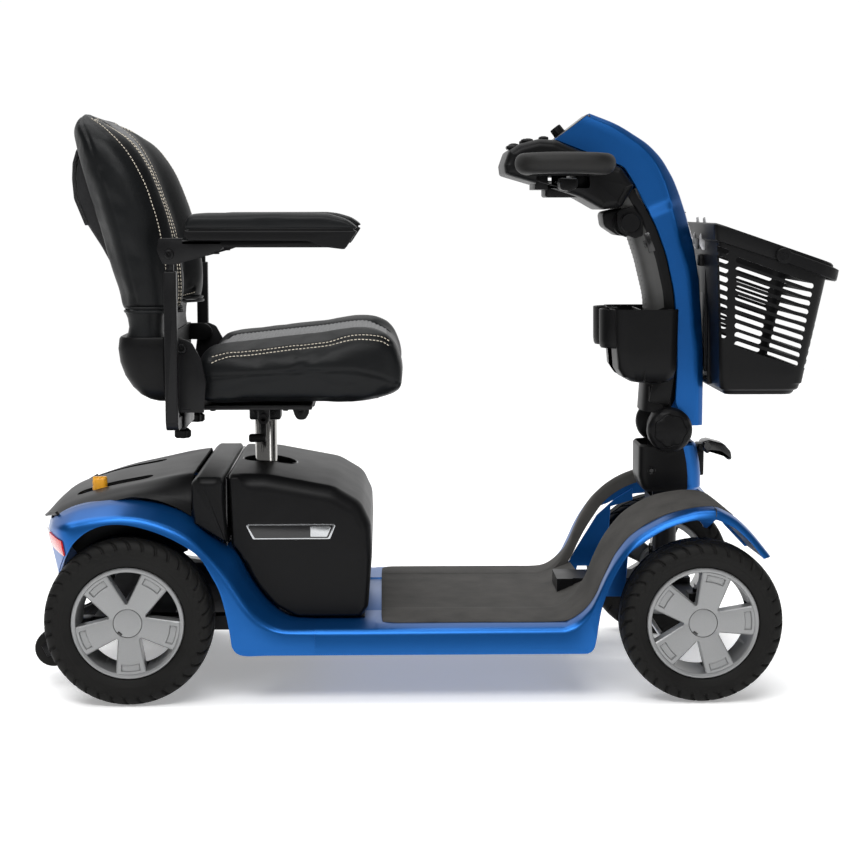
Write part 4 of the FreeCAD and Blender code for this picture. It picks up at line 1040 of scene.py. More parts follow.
def lamp_point(y, down, proud=1.5):
    """On the band below its crease; down is 0 at the lamp's top edge and 1 at its bottom."""
    upper, lower = ([np.interp(-y, -corner[:, c, 1], corner[:, c, k]) for k in (0, 2)]
                    for c in (11, 12))
    across = (abs(y) - 190) / 72.0
    z = 281 - 12 * across - down * (26 - 2 * across)
    t = (upper[1] - z) / (upper[1] - lower[1])
    x = upper[0] + (lower[0] - upper[0]) * t
    away = Vector((x + 520, y, 0)).normalized()
    return (x + away.x * proud, y + away.y * proud, z)


lamps = Solid()
for part, span in ((1, (-190, -214)), (0, (-218, -262))):
    lamps.mat = part
    lamps.grid([[lamp_point(y, down, 1.0 + 1.6 * math.sin(math.pi * down) ** 0.5)
                 for down in np.linspace(0, 1, 9)] for y in np.linspace(*span, 14)])
lamps.mirrored()
piece("tail_lamp_lenses", lamps, "chassis", (RED, CLEAR), ("tail_lights",),
      modifiers=[("SOLIDIFY", {"thickness": 0.003, "offset": 0.0})])


# ------------------------------------------------------------------ tiller

def arc_line(corners, count):
    return even(rounded(corners, 6, closed=False), count)


NOSE = arc_line([(462, 428), (462, 513, 300), (459, 609, 400), (452.5, 682, 300), (443, 743, 200),
                 (425, 803, 150), (406, 848, 120), (385, 883, 120), (360, 908, 120),
                 (309, 940, 200), (261, 958)], 120)
BACK = arc_line([(423, 428), (412, 470, 30), (414, 530, 200), (413, 590, 200), (407, 659, 200),
                 (393, 721, 200), (375, 768, 120), (357, 801, 90), (338, 836, 60),
                 (318, 868, 20), (201.5, 913)], 120)


def tiller_half(z_front):
    """Half width of the blue shell at a height."""
    return float(np.interp(z_front, [428, 806, 822, 900, 960], [51.5, 52, 58, 57, 54]))


def nose_bevel(z_front):
    """Width of the chamfer beside the nose."""
    return float(np.interp(z_front, [428, 560, 600, 700, 745, 800, 870, 960],
                           [10, 11, 17, 18, 26, 24, 16, 8]))


shell = Solid()
rows = []
for i in range(120):
    # the head's seam runs down the dash, the nose line meets it at the top corner
    nose, back = NOSE[i], BACK[i]
    half = tiller_half(nose[1])
    bevel = nose_bevel(nose[1])
    across = np.array([back[0] - nose[0], back[1] - nose[1]])
    depth = np.linalg.norm(across)
    step = across / max(depth, 1e-6)

    def point(y, d):
        return (nose[0] + step[0] * d, y, nose[1] + step[1] * d)

    d1 = min(bevel * 0.95, depth * 0.45)
    flat = half - bevel
    row = [point(half - 4, depth), point(half - 1.5, depth),
           point(half, depth - 1.5 if depth > 4 else depth)]
    row += [point(half, d1 + (depth - d1) * t) for t in (0.6, 0.3)]
    row += [point(half, d1 + 2.5), point(half - 0.8, d1), point(half - 3, d1 - 2.2)]
    row += [point(flat + 3, 2.6), point(flat, 0.9), point(flat - 4, 0.3)]
    row += [point(flat * 0.5, -0.1), point(0, -0.2)]
    mirrored = [(x, -y, z) for x, y, z in row[::-1][1:]]
    rows.append(row + mirrored)
shell.grid(rows)
piece("tiller_shell", shell, "tiller", BLUE, ("tiller_front_cover",), angle=30,
      modifiers=[("SOLIDIFY", {"thickness": 0.0035, "offset": -1.0})])

# crown plate that closes the head above the console, with the dash
dash = Solid()
dash.prism(rounded([(201.5, 912, 2), (260.5, 956.5, 3), (262, 951), (214, 906), (204, 905, 2)]),
           -53, 53, 1.2, 1.2, 2)
dash.prism(rounded([(201, 913.4, 1), (257, 956.6, 1), (258, 955), (202, 911.8)]), -47, 47, 0.6,
           0.6, 2)
piece("dash_plate", dash, "tiller", GLOSS)

# black shell behind, with a dark grey spine panel and the cross tube
SPINE_LINE = arc_line([(357, 452), (361, 520, 300), (366, 600, 200), (363, 649, 120),
                       (347, 713, 200), (331, 760, 120), (312, 800)], 90)
SEAM_IN = arc_line([(408, 446), (404, 470, 30), (412, 530, 200), (411, 590, 200),
                    (405, 659, 200), (391, 721, 200), (373, 768, 120), (355, 801, 90),
                    (332, 836)], 90)
rear = Solid()
rows = []
for i in range(90):
    a, b = SPINE_LINE[i], SEAM_IN[i]

    def point(y, t):
        return (a[0] + (b[0] - a[0]) * t, y, a[1] + (b[1] - a[1]) * t)

    row = [point(-52, 1.0), point(-52.5, 0.72), point(-51.5, 0.66), point(-50, 0.62),
           point(-48, 0.40), point(-44, 0.2), point(-36, 0.06), point(-24, 0.0), point(0, -0.02)]
    rows.append(row + [(x, -y, z) for x, y, z in row[::-1][1:]])
half = len(rows[0]) // 2
rear.grid(rows)
for index, face in enumerate(rear.faces):
    column = index % (len(rows[0]) - 1)
    rear.mats[index] = 1 if 3 <= column <= len(rows[0]) - 5 and \
        rows[index // (len(rows[0]) - 1)][0][2] > 636 else 0
piece("tiller_back", rear, "tiller", (PLASTIC, GREY), ("tiller_rear_cover",),
      angle=30, modifiers=[("SOLIDIFY", {"thickness": 0.003, "offset": -1.0})])
detail = Solid()
for k in range(26):
    i = 34 + k * 2
    a = SPINE_LINE[i]
    detail.block((a[0] - 0.9, a[0] + 2), (-22, 22), (a[1] - 1.0, a[1] + 1.0), 0.5, 1)
piece("spine_ribs", detail, "tiller", GREY)
port = Solid()
for side in (1, -1):
    for (x, z), (w, h), lean in (((366, 742), (7, 17), -16), ((357, 738), (1.6, 6), -16)):
        turned = Matrix.Rotation(math.radians(lean), 4, "Y")
        y0 = side * 49.2
        port.block((-w, w), (-3.0, 3.0), (-h, h), 1.2, 2,
                   place=lambda p, q, r, x=x, z=z, y0=y0, turned=turned:
                   tuple(Vector((x, y0, z)) + turned @ Vector((p, q, r))))
piece("tiller_port", port, "tiller", GLOSS)

barrel = Solid()
for side in (1, -1):
    barrel.lathe([(0.01, 66), (15.5, 66), (16.5, 65), (17, 63.5), (17, 58), (21, 57.4),
                  (22, 56), (22, 50), (21.6, 49.4)], (330, 0, 774), (0, side, 0), 56)
barrel.lathe([(21.4, 49.6), (22.6, 49), (22.8, 30), (22.8, -30), (22.6, -49), (21.4, -49.6)],
             (325, 0, 774), (0, 1, 0), 56)
barrel.prism(rounded([(284, 792, 8), (288, 768, 12), (312, 752, 10), (336, 756, 10),
                      (340, 792, 8), (318, 800, 6)]), -40, 40, 5, 5, 3)
cheek = rounded([(309, 796, 4), (336, 802, 3), (352, 778, 4), (352, 752, 5), (338, 748, 8),
                 (318, 756, 14), (308, 774, 14)])
for side in (1, -1):
    barrel.prism(cheek, min(side * 50, side * 58), max(side * 50, side * 58), 1.6, 1.6, 3)
piece("cross_tube", barrel, "tiller", PLASTIC)

# ------------------------------------------------------------------ console and grips

CONSOLE = anticlockwise(even(rounded([
    (114, 871, 8), (116, 855, 6), (129, 851, 20), (184, 835, 90), (241, 818, 90),
    (280, 796, 12), (312, 800, 10), (333, 836, 4), (312, 866, 12), (200, 912, 20),
    (173, 914, 20), (141, 906, 20), (122, 894, 10)], 6), 200, closed=True))
console_rim = safe_rim(CONSOLE, 14)
console = Solid().prism(CONSOLE, -89, 89, console_rim, console_rim, 7)
console_piece = piece("console_body", console, "tiller", PLASTIC, ("console",),
                      angle=28)
bay = Solid().block((168, 258), (-120, 120), (832, 853), 4)
cut(console_piece, bay)
button_well = Solid().lathe([(0.01, 880), (9.7, 880), (9.7, 930), (0.01, 930)], (157, 40, 0),
                            (0, 0, 1), 32)
cut(console_piece, button_well)
trim = Solid()
for x0, x1 in ((168, 190), (238, 258)):
    trim.block((x0, x1), (-60, 60), (830, 855), 1)
edge = arc_line([(117, 866), (119, 857, 5), (130, 852.5, 20), (184, 836.5, 90),
                 (241, 819.5, 90), (283, 798, 10), (306, 799, 8)], 70)
for side in (1, -1):
    trim.tube([(x, side * 82, z + 4) for x, z in edge], 1.1, 8)
curve = arc_line([(330, 838), (318, 834, 30), (308, 816, 20), (301, 799)], 24)
for side in (1, -1):
    trim.tube([(x, side * 89.2, z) for x, z in curve], 0.8, 6)
    trim.lathe([(0.01, 0.4), (3.6, 0.4), (4.4, 1.2), (5.2, 0.2)], (271, side * 83, 812),
               (0, side * 0.6, -0.8), 24)
trim.block((187, 252), (-42, 42), (817, 838), 4, 3)
for k, (x, y) in enumerate(((128, -52), (134, -30), (130, -8), (136, 16), (152, -58),
                            (158, -36), (160, -12), (182, -56), (184, -30), (186, -4))):
    z = float(np.interp(x, [114, 122, 141, 173, 201], [872, 895, 907, 914, 913]))
    trim.block((x - 8, x + 8), (y - 9, y + 9), (z - 2, z + 4.5), 2.5, 3)
    trim.lathe([(0.01, 5.6), (4, 5.4), (5.5, 4.2), (5.5, 0)], (x, y, z), (0, 0, 1), 20)
piece("console_details", trim, "tiller", PLASTIC)

grips = Solid()
for side in (1, -1):
    path = arc_line([(262, 70), (264, 120), (276, 208, 44), (214, 216, 300), (138, 208, 44),
                     (150, 120), (152, 70)], 110)
    rows = [(x, side * y, 870 + 1.5 * math.sin((x - 138) / 138 * math.pi)) for x, y in path]
    oval = [(math.cos(t) * (1 + 0.06 * math.cos(2 * t)), math.sin(t))
            for t in np.linspace(0, 2 * math.pi, 28, endpoint=False)]
    grips.tube(rows, 17.2, shape=oval)
piece("loop_grips", grips, "tiller", GRIP, ("handlebar",), angle=40)

bar = Solid()
bar.block((205, 223), (-128, 128), (838, 846), 2)
for side in (1, -1):
    paddle = rounded([(199, 840, 4), (201, 829, 5), (216, 826, 8), (229, 833, 5), (229, 847, 3),
                      (201, 848, 3)])
    bar.prism(paddle, min(side * 126, side * 172), max(side * 126, side * 172), 3, 3, 3)
bar.lathe([(0.01, 834), (13, 834), (13, 854), (0.01, 854)], (214, 0, 0), (0, 0, 1), 32)
piece("throttle_paddles", bar, "throttle", PLASTIC, ("throttle",))

SLOPE = math.atan2(46, 60)
UP_DASH = Vector((math.cos(SLOPE), 0, math.sin(SLOPE)))
OFF_DASH = Vector((-math.sin(SLOPE), 0, math.cos(SLOPE)))


def on_dash(distance, y, height=0.5):
    return Vector((201, y, 912)) + UP_DASH * distance + OFF_DASH * height


dial = Solid()
rows = []
for k in range(72):
    t = 2 * math.pi * k / 72
    flute = 0.5 * (1 + math.cos(12 * t))
    out = (UP_DASH * math.cos(t) + Vector((0, 1, 0)) * math.sin(t))
    rows.append([tuple(on_dash(16, -26) + out * r + OFF_DASH * h) for r, h in
                 ((0.01, 0), (11.8, 0), (11.8, 2), (10.6 - 0.8 * flute, 3),
                  (10.2 - 0.8 * flute, 14), (9.3, 15.6), (7, 16), (6.4, 15.2), (0.01, 15.2))])
dial.grid(rows, along=True)
piece("dial_knob", dial, "speed_dial", PLASTIC, ("speed_dial",))
key = Solid()
key.lathe([(0.01, 0), (4, 0), (4, 5), (0.01, 5)], on_dash(22, 20), tuple(OFF_DASH), 24)
bow_foot = on_dash(22, 20, 4.5)
bow = rounded([(-7.5, 0, 2), (7.5, 0, 2), (8, 5, 3), (5, 9, 3), (-5, 9, 3), (-8, 5, 3)], 5)
key.prism(bow, -1.4, 1.4, 0.5, 0.5, 2,
          place=lambda p, q, r: tuple(bow_foot + UP_DASH * p + Vector((0, q, 0)) + OFF_DASH * r))
piece("key_bow", key, "key", BRASS, ("key",))
collar = Solid()
collar.lathe([(4.4, 0.2), (9, 0.2), (9, 3.2), (7.5, 4.6), (4.4, 4.6)], on_dash(22, 20, 0.6),
             tuple(OFF_DASH), 36)
collar.lathe([(12.2, 0.2), (14, 0.2), (14, 1.2), (12.2, 1.4)], on_dash(16, -26, 0.6),
             tuple(OFF_DASH), 48)
piece("dash_collars", collar, "tiller", ZINC)
horn = Solid()
horn.lathe([(0.01, 899), (9, 899), (9, 912.5), (8.2, 914.2), (6, 915), (0.01, 914.4)],
           (157, 40, 0), (0, 0, 1), 40)
piece("horn_cap", horn, "horn_button", PLASTIC, ("horn_button",))

# headlight: clear lens with slot lines, on the flat of the nose
lamp = Solid()
nose_mid = [(NOSE[i], i) for i in range(120) if 746 < NOSE[i][1] < 800]
rows = []
for (x, z), i in nose_mid:
    rows.append([(x + 1.4 * (1 - (y / 27.5) ** 4) - 0.4, y, z) for y in np.linspace(-27, 27, 21)])
lamp.grid(rows)
lamp.mat = 1
for k in range(3):
    (x, z), i = nose_mid[1 + 4 * k]
    for y in (-22, 22):
        lamp.block((x - 1.0, x + 1.2), (y - 5, y + 5), (z - 0.7, z + 0.7), 0.4, 1)
piece("headlight_lens", lamp, "tiller", (CLEAR, GLOSS), ("headlight",),
      modifiers=[("SOLIDIFY", {"thickness": 0.002, "offset": -1.0})])

# knobs on the tilting hinge
knobs = Solid()
for side in (1, -1):
    rows = []
    for k in range(96):
        t = 2 * math.pi * k / 96
        lobe = 0.5 + 0.5 * math.cos(7 * t)
        inner = 26.5 + 3.0 * lobe
        out = Vector((math.cos(t), 0, math.sin(t)))
        centre = Vector((400, 0, 423))
        ring = [(0.01, 60), (30, 60), (36, 62), (38.5, 66), (38.8, 74), (37.5, 80),
                (34.5, 84.5 - 1.0 * lobe), (inner + 2, 86.5), (inner, 87.2), (inner - 1.2, 86.2),
                (inner - 3, 87.4), (14, 89.0), (0.01, 89.4)]
        rows.append([tuple(centre + out * r + Vector((0, side * h, 0))) for r, h in ring])
    knobs.grid(rows, along=True)
piece("hinge_knob_caps", knobs, "tiller", PLASTIC, ("hinge_knobs",), angle=26)

# glove tray: tapered pocket with two cup rings towards the rider
tray = Solid()
OUTER = [(300, 30), (303, 86), (318, 92), (398, 92), (411, 84), (412, 60)]


def tray_ring(z, taper, inset=0.0):
    pts = []
    for x, y in OUTER:
        px = x + (taper * (1 if x < 350 else -0.25)) + (inset if x < 350 else -inset)
        pts.append((px, y - inset - taper * 0.25, z))
    return rounded_ring(pts)


def rounded_ring(points):
    z = points[0][2]
    flat = rounded([(p[0], p[1], 9) for p in points], 5, closed=False)
    line = even(flat, 40)
    full = np.vstack([line, line[::-1] * [1, -1]])
    return [(x, y, z) for x, y in full]


outer_rows = [tray_ring(628, 0.5, 1.2), tray_ring(629, 0, 0.3), tray_ring(627, 0, 0),
              tray_ring(560, 4, 0), tray_ring(528, 7, 0), tray_ring(514, 14, 2),
              tray_ring(506, 24, 6), tray_ring(502, 36, 14)]
inner_rows = [tray_ring(628, 0.5, 2.6), tray_ring(560, 4, 3.2), tray_ring(528, 7, 3.4),
              tray_ring(514, 14, 6), tray_ring(509, 30, 12)]
tray.grid(outer_rows[::-1] + inner_rows)
for row in (outer_rows[-1], inner_rows[-1]):
    half = len(row) // 2
    tray.grid([row[:half], row[::-1][:half]])
tray_piece = piece("glove_tray", tray, "tiller", PLASTIC, ("glove_box",),
                   angle=34)
slot = Solid().block((355.5, 500), (-59, 59), (470, 640), 1)
cut(tray_piece, slot)
cups = Solid()
for side in (1, -1):
    cups.lathe([(33, 627), (34, 628.4), (36, 628.4), (36.6, 627), (36, 575), (35, 566),
                (33, 562.4), (0.01, 562), (0.01, 566), (30, 566), (32, 568.5), (33, 627)],
               (317, side * 46, 0), (0, 0, 1), 64)
cup_piece = piece("cup_rings", cups, "tiller", PLASTIC, angle=34)
notch = Solid().block((318, 400), (-90, 90), (500, 640), 1)
cut(cup_piece, notch)
inlay = Solid()
inlay.block((352.5, 355.2), (-90, 90), (507, 626), 1)
for side in (1, -1):
    inlay.prism(rounded([(396, 628, 3), (396, 560), (388, 512, 4), (372, 502, 4), (366, 470, 3),
                         (400, 463, 5), (412, 530, 60), (411, 600, 60), (408, 628, 3)]),
                min(side * 53.5, side * 57.5), max(side * 53.5, side * 57.5), 1.2, 1.2, 2)
    inlay.block((367, 370), (side * 51 - 2, side * 51 + 2), (470, 496), 1)
piece("tray_inlay", inlay, "tiller", PLASTIC)

# lower shroud on the steering column with the painted front piece
shroud = Solid()
RING_Z = [396, 392, 380, 360, 340, 326, 318, 313.5]
rows = []
for k, z in enumerate(RING_Z):
    u = (396 - z) / 83.0
    rear_x = 352 + 14 * max(0, u - 0.75) * 3
    front_x = 452 + 10 * math.sin(min(1, u * 1.3) * math.pi / 2)
    wide = 52 - 3 * u
    ring = rounded([(rear_x, -wide, 16), (front_x, -wide, 26), (front_x, wide, 26),
                    (rear_x, wide, 16)], 6)
    shrink = 1 - 0.06 * (k in (0, 7))
    rows.append([((x - 405) * shrink + 405, y * shrink, z + (x - 405) * 0.03) for x, y in ring])
shroud.grid(rows, around=True)
front_col = [j for j, p in enumerate(rows[3]) if p[0] > 425]
m = len(rows[0])
for index in range(len(shroud.faces)):
    if index % m in front_col and (index % m + 1) % m in front_col:
        shroud.mats[index] = 1
shroud.mat = 0
piece("column_shroud", shroud, "steering_column", (PLASTIC, BLUE),
      ("lower_shroud",), angle=35,
      modifiers=[("SOLIDIFY", {"thickness": 0.003, "offset": -1.0})])
screw = Solid()
for side in (1, -1):
    screw.lathe([(0.01, 1.0), (3.4, 1.0), (3.6, -1.4), (6.2, -1.4), (6.4, 1.2), (7.0, 1.3),
                 (7.2, 0)], (373, side * 51.6, 350), (0, side, 0), 28)
piece("shroud_screws", screw, "steering_column", GLOSS)

bracket = Solid()
bracket.block((452, 470), (-14, 14), (336, 384), 3, 3)
bracket.block((458, 472), (-20, 20), (380, 392), 3, 3)
piece("lever_bracket", bracket, "steering_column", STEEL)

# tilt release lever
pull = Solid()
blade = anticlockwise(even(rounded([
    (474, 374, 4), (480, 378, 6), (498, 376, 14), (511, 364, 3), (518, 364, 3), (516, 378, 8),
    (504, 392, 14), (478, 399, 10), (466, 396, 5), (466, 384, 5)], 6), 90, closed=True))
pull.prism(blade, -22, 22, 4, 4, 4)
pull.lathe([(0.01, -24), (6, -24), (6.5, -23.4), (6.5, 23.4), (6, 24), (0.01, 24)],
           (474, 0, 389), (0, 1, 0), 28)
piece("tilt_pull", pull, "tilt_lever", GLOSS, ("tilt_lever",))


# ------------------------------------------------------------------ seat

def stuffed(made, cap, voxel=5.0):
    """Remesh a cushion, blow it up a little as cloth, and keep each point within a cap."""
    remesh = made.modifiers.new("remesh", "REMESH")
    remesh.mode = "VOXEL"
    remesh.voxel_size = voxel * MM
    apply_modifiers(made)
    rest = np.array([tuple(v.co) for v in made.data.vertices])
    scene = bpy.context.scene
    cloth = made.modifiers.new("cloth", "CLOTH")
    cloth.settings.quality = 5
    cloth.settings.mass = 0.3
    cloth.settings.use_pressure = True
    cloth.settings.uniform_pressure_force = 4
    cloth.settings.tension_stiffness = 30
    cloth.settings.compression_stiffness = 30
    cloth.settings.bending_stiffness = 2
    cloth.settings.effector_weights.gravity = 0
    cloth.point_cache.frame_end = 20
    for number in range(1, 21):
        scene.frame_set(number)
    apply_modifiers(made)
    scene.frame_set(1)
    moved = np.array([tuple(v.co) for v in made.data.vertices]) - rest
    length = np.maximum(np.linalg.norm(moved, axis=1, keepdims=True), 1e-9)
    rest = rest + moved * np.minimum(1.0, cap * MM / length)
    made.data.vertices.foreach_set("co", rest.ravel())
    smooth = made.modifiers.new("smooth", "SMOOTH")
    smooth.iterations = 6
    finer = made.modifiers.new("finer", "SUBSURF")
    finer.levels = finer.render_levels = 1
    apply_modifiers(made)
    for face in made.data.polygons:
        face.use_smooth = True
    return made


class Surface:
    """Finds points on a finished cushion, in drawing millimetres."""

    def __init__(self, made):
        from mathutils.bvhtree import BVHTree
        self.made = made
        self.tree = BVHTree.FromPolygons([v.co.copy() for v in made.data.vertices],
                                         [tuple(f.vertices) for f in made.data.polygons])

    def hit(self, point, way):
        """The first surface point and normal seen from a point, looking along a direction."""
        found = self.tree.ray_cast(metres(*point), Vector(way))
        if found[0] is None:
            found = self.tree.find_nearest(metres(*point))
        spot = found[0] / MM
        return Vector((spot.x - SHIFT, spot.y, spot.z)), found[1]

    def groove(self, path, depth, reach):
        """Press a sewn seam into the cushion along a path of surface points."""
        from mathutils.kdtree import KDTree
        line = even([tuple(p) for p in path], max(8, int(len(path) * 6)))
        tree = KDTree(len(line))
        for k, p in enumerate(line):
            tree.insert(metres(*p), k)
        tree.balance()
        normals = [v.normal.copy() for v in self.made.data.vertices]
        for vertex, normal in zip(self.made.data.vertices, normals):
            near = tree.find(vertex.co)[2]
            if near < reach * MM * 2.5:
                vertex.co -= normal * (depth * MM * math.exp(-(near / (reach * MM)) ** 2))
        self.made.data.update()


def on_surface(surface, guides, way, count, lift=0.0):
    """A smooth path through guide points, dropped onto the cushion along a direction."""
    out = []
    for p in spline(guides, count):
        spot, normal = surface.hit(tuple(Vector(p) - Vector(way) * 60), way)
        out.append(spot + normal * lift)
    return out


def stitches(solid, path, length=4.0, gap=2.2, radius=0.75):
    """A row of short thread stitches that lie along a path."""
    total = sum((path[k + 1] - path[k]).length for k in range(len(path) - 1))
    line = even([tuple(p) for p in path], max(4, int(total / 1.0)))
    step = int(length + gap)
    for k in range(0, len(line) - int(length) - 1, step):
        a, b = Vector(line[k]), Vector(line[k + int(length)])
        mid = (a + b) / 2
        solid.tube([a, a + (mid - a) * 0.25, mid, b + (mid - b) * 0.25, b],
                   [radius * 0.3, radius, radius, radius, radius * 0.3], 6)


def ribbed_panel(surface, rows, way, rise=1.3):
    """Rings of a panel of parallel ribs that lies on the cushion; rows are its guide lines."""
    for near, far, phase in rows:
        ring = []
        for t in np.linspace(0, 1, 9):
            p = Vector(near) * (1 - t) + Vector(far) * t
            spot, normal = surface.hit(tuple(p - Vector(way) * 60), way)
            ring.append(tuple(spot + normal * (0.4 + rise * phase)))
        yield ring


# back cushion: rear, centre, bolster and side-seam positions up the height, with half widths
BACK = [
    (-508, -446, -414, -480, 632, 226), (-511, -447, -412, -487, 660, 229),
    (-524, -452, -417, -497, 704, 231), (-538, -459, -427, -508, 754, 232),
    (-552, -474, -441, -522, 804, 232), (-568, -494, -464, -540, 861, 229),
    (-580, -517, -494, -554, 905, 221), (-587, -541, -524, -567, 932, 206),
    (-584, -556, -546, -572, 947, 188), (-577, -563, -559, -570, 955, 168),
    (-572, -567, -565, -570, 958.5, 150),
]
SWELL = 3.0


def back_ring(rear, centre, bolster, side, z, w):
    w -= SWELL
    k = min(1.0, w / 205)
    middle = (centre + bolster) / 2
    front = [(0, centre), (70 * k, centre), (112 * k, centre + 1), (136 * k, middle),
             (156 * k, bolster - 4), ((156 * k + w - 20) / 2, bolster),
             (w - 20, bolster - 8 - 0.1 * (bolster - side)),
             (w - 3, (bolster + side) / 2 + 4), (w, side)]
    behind = [(w - 5, (side + rear) / 2), (w - 26, rear + 5), (w - 60, rear + SWELL),
              (0, rear + SWELL)]
    half = [(x - (SWELL if k < 8 else 0), y, z) for k, (y, x) in enumerate(front)]
    half += [(x, y, z) for y, x in behind]
    return half + [(x, -y, z) for x, y, z in half[-2:0:-1]]


rings = np.array([spline(back_ring(*row), 96, closed=True) for row in BACK])
lofted = weave(rings, 64)
back = Solid().grid([[tuple(p) for p in row] for row in lofted], around=True, ends=(True, True))
back_cushion = stuffed(piece("backrest_padding", back, "backrest", LEATHER,
                             ("backrest_cushion",)), 7)
skin = Surface(back_cushion)
FORWARD, DOWN = (-1, 0, 0), (0, 0, -1)
heights = [row[4] for row in BACK]


def back_path(y, top, low=636, count=60, column=1, lift=0.0):
    """A line up the front of the back at a distance across; y may change with height."""
    spread = y if callable(y) else (lambda z: y)
    guides = [(float(np.interp(z, heights, [row[column] for row in BACK])) + 6, spread(z), z)
              for z in np.linspace(low, top, 12)]
    return on_surface(skin, guides, FORWARD, count, lift)


def taper(near, far):
    return lambda z: near + (far - near) * max(0.0, (z - 700) / 260.0) ** 1.6


def half_at(z):
    """Half width of the back at a height."""
    return float(np.interp(z, heights, [row[5] for row in BACK])) - SWELL

PANEL_EDGES = [taper(sign * 98, sign * 84) for sign in (1, -1)]
for edge in PANEL_EDGES:
    skin.groove(back_path(edge, 950), 3.2, 4.0)
for sign in (1, -1):
    skin.groove(back_path(lambda z, s=sign: s * (half_at(z) - 43), 944), 2.4, 3.5)
side_paths = []
for sign in (1, -1):
    guides = [(row[3], sign * (row[5] + 20), row[4]) for row in BACK[:9]]
    side_paths.append(on_surface(skin, guides, (0, -sign, 0), 60))
    skin.groove(side_paths[-1], 1.6, 2.6)
skin = Surface(back_cushion)
panel = Solid()
panel_z = np.arange(648, 944, 7.0 / 4)
rows = []
for k, z in enumerate(panel_z):
    near, far = PANEL_EDGES[1](z) + 1, PANEL_EDGES[0](z) - 1
    x = float(np.interp(z, heights, [row[1] for row in BACK])) + 4
    rows.append(((x, near, z), (x, far, z), 0.5 - 0.5 * math.cos(math.pi * k / 2)))
panel.grid(list(ribbed_panel(skin, rows, FORWARD)))
piece("back_ribbed_panel", panel, "backrest", RIBBED, angle=60)
thread = Solid()
for sign in (1, -1):
    for offset in (3, 10):
        stitches(thread, back_path(lambda z, s=sign, o=offset: taper(s * 98, s * 84)(z) + s * o,
                                   948, lift=0.3))
    for offset in (18, 40, 47):
        stitches(thread, back_path(lambda z, s=sign, o=offset: s * (half_at(z) - o), 944,
                                   lift=0.3))
piece("back_stitching", thread, "backrest", THREAD, angle=60)

# double hem round the foot of the back, leather waist below it, hard lower shell
hem = Solid()
for z, out in ((639.5, 0.4), (633.5, 1.6)):
    ring = [Vector(p) for p in spline(back_ring(*BACK[0]), 120, closed=True)]
    ring = [(p.x + out * (1 if p.x > -470 else -1), p.y * (1 + out / 230), z) for p in ring]
    hem.tube(ring, 2.3, 8, closed=True)
piece("back_hem", hem, "backrest", LEATHER, angle=60)


def waist_ring(front, rear, half, z):
    """Outline of the waist at one height, and that height."""
    outline = [(front, -half, 28), (front, half, 28), (rear, half, 30), (rear, -half, 30)]
    return rounded(outline, 6), z


waist = Solid()
waist.grid([[(x, y, z) for x, y in ring] for ring, z in (
    waist_ring(-444, -508, 214, 634), waist_ring(-446, -503, 211, 622),
    waist_ring(-447, -501, 209, 608), waist_ring(-446, -503, 209, 598),
    waist_ring(-444, -508, 208, 590))], around=True, ends=(True, True))
piece("back_waist", waist, "backrest", LEATHER, angle=60)
lower = Solid()
rows = []
for z, rear, half, corner in ((591.5, -516, 211, 40), (588, -518, 212.5, 42), (572, -520, 213, 44),
                              (550, -517, 212.5, 46), (528, -509, 210, 48), (510, -497, 205, 46),
                              (497, -484, 197, 40), (489, -470, 186, 30), (485, -458, 172, 20)):
    rows.append([(x, y, z) for x, y in rounded([(-441, -half, 3), (-441, half, 3),
                                                (rear, half, corner), (rear, -half, corner)], 9)])
lower.grid(rows, around=True, ends=(True, True))
for side in (1, -1):
    lower.prism(rounded([(-442, 560), (-412, 560, 14), (-398, 575, 14), (-412, 590, 14),
                         (-442, 590)]), min(side * 202, side * 210), max(side * 202, side * 210),
                1, 1, 2)
    lower.bolt((-412, side * 209, 575), (0, side, 0), 9, 5)
piece("back_shell", lower, "backrest", PLASTIC, ("backrest_shell",), angle=30)

# pocket on the rear with its flap
pouch = Solid()
POUCH = anticlockwise(even(rounded([
    (-574, 893, 5), (-584, 880, 14), (-588, 850, 40), (-586, 812, 40), (-573, 775, 30),
    (-548, 735, 40), (-524, 690, 4), (-522, 700, 3), (-537, 751, 90), (-551, 799, 90),
    (-567, 863, 60)], 6), 120, closed=True))
pouch.prism(POUCH, -148, 148, 6, 6, 5)
pocket = piece("rear_pocket", pouch, "backrest", SKIRT, ("seat_pocket",), angle=40)
flap = Solid()
FLAP = even(rounded([(-574, 898, 4), (-585, 895, 8), (-592, 872, 14), (-593.5, 846, 40),
                     (-591, 814, 20), (-574, 771), (-570, 771), (-572, 778, 2), (-587, 815, 20),
                     (-589.5, 846, 40), (-588, 871, 12), (-582, 890, 6)], 5), 110, closed=True)
flap.prism(FLAP, -152, 152, 1, 1, 2)
piece("pocket_flap", flap, "backrest", SKIRT, angle=40)

# seat cushion: crowned bolsters round a lower ribbed middle
SEAT = [  # x, underside, side seam, bolster top, half width
    (-395, 493, 520, 556, 198), (-382, 488, 527, 571, 214), (-350, 488, 530, 578, 221),
    (-315, 489, 532, 582, 223), (-246, 489, 535, 590, 225), (-190, 489, 537, 596, 226),
    (-141, 490, 538, 603, 226), (-108, 493, 532, 604, 224), (-82, 499, 524, 600, 220),
    (-65, 503, 514, 587, 213), (-55, 506, 511, 564, 200),
]


def seat_ring(x, low, side, top, w):
    w -= SWELL
    top -= SWELL
    dip = 10.0 * min(1.0, (top - side) / 50.0)
    half = [(0, top - dip), (90, top - dip), (132, top - dip + 1), (158, top - 3), (w - 34, top),
            (w - 14, top - 10), (w - 3, (top + side) / 2 + 6), (w, side),
            (w - 2, (side + low) / 2 + 3), (w - 10, low + 5), (w - 30, low), (0, low)]
    ring = [(x, y, z) for y, z in half]
    return ring + [(x, -y, z) for _, y, z in ring[-2:0:-1]]


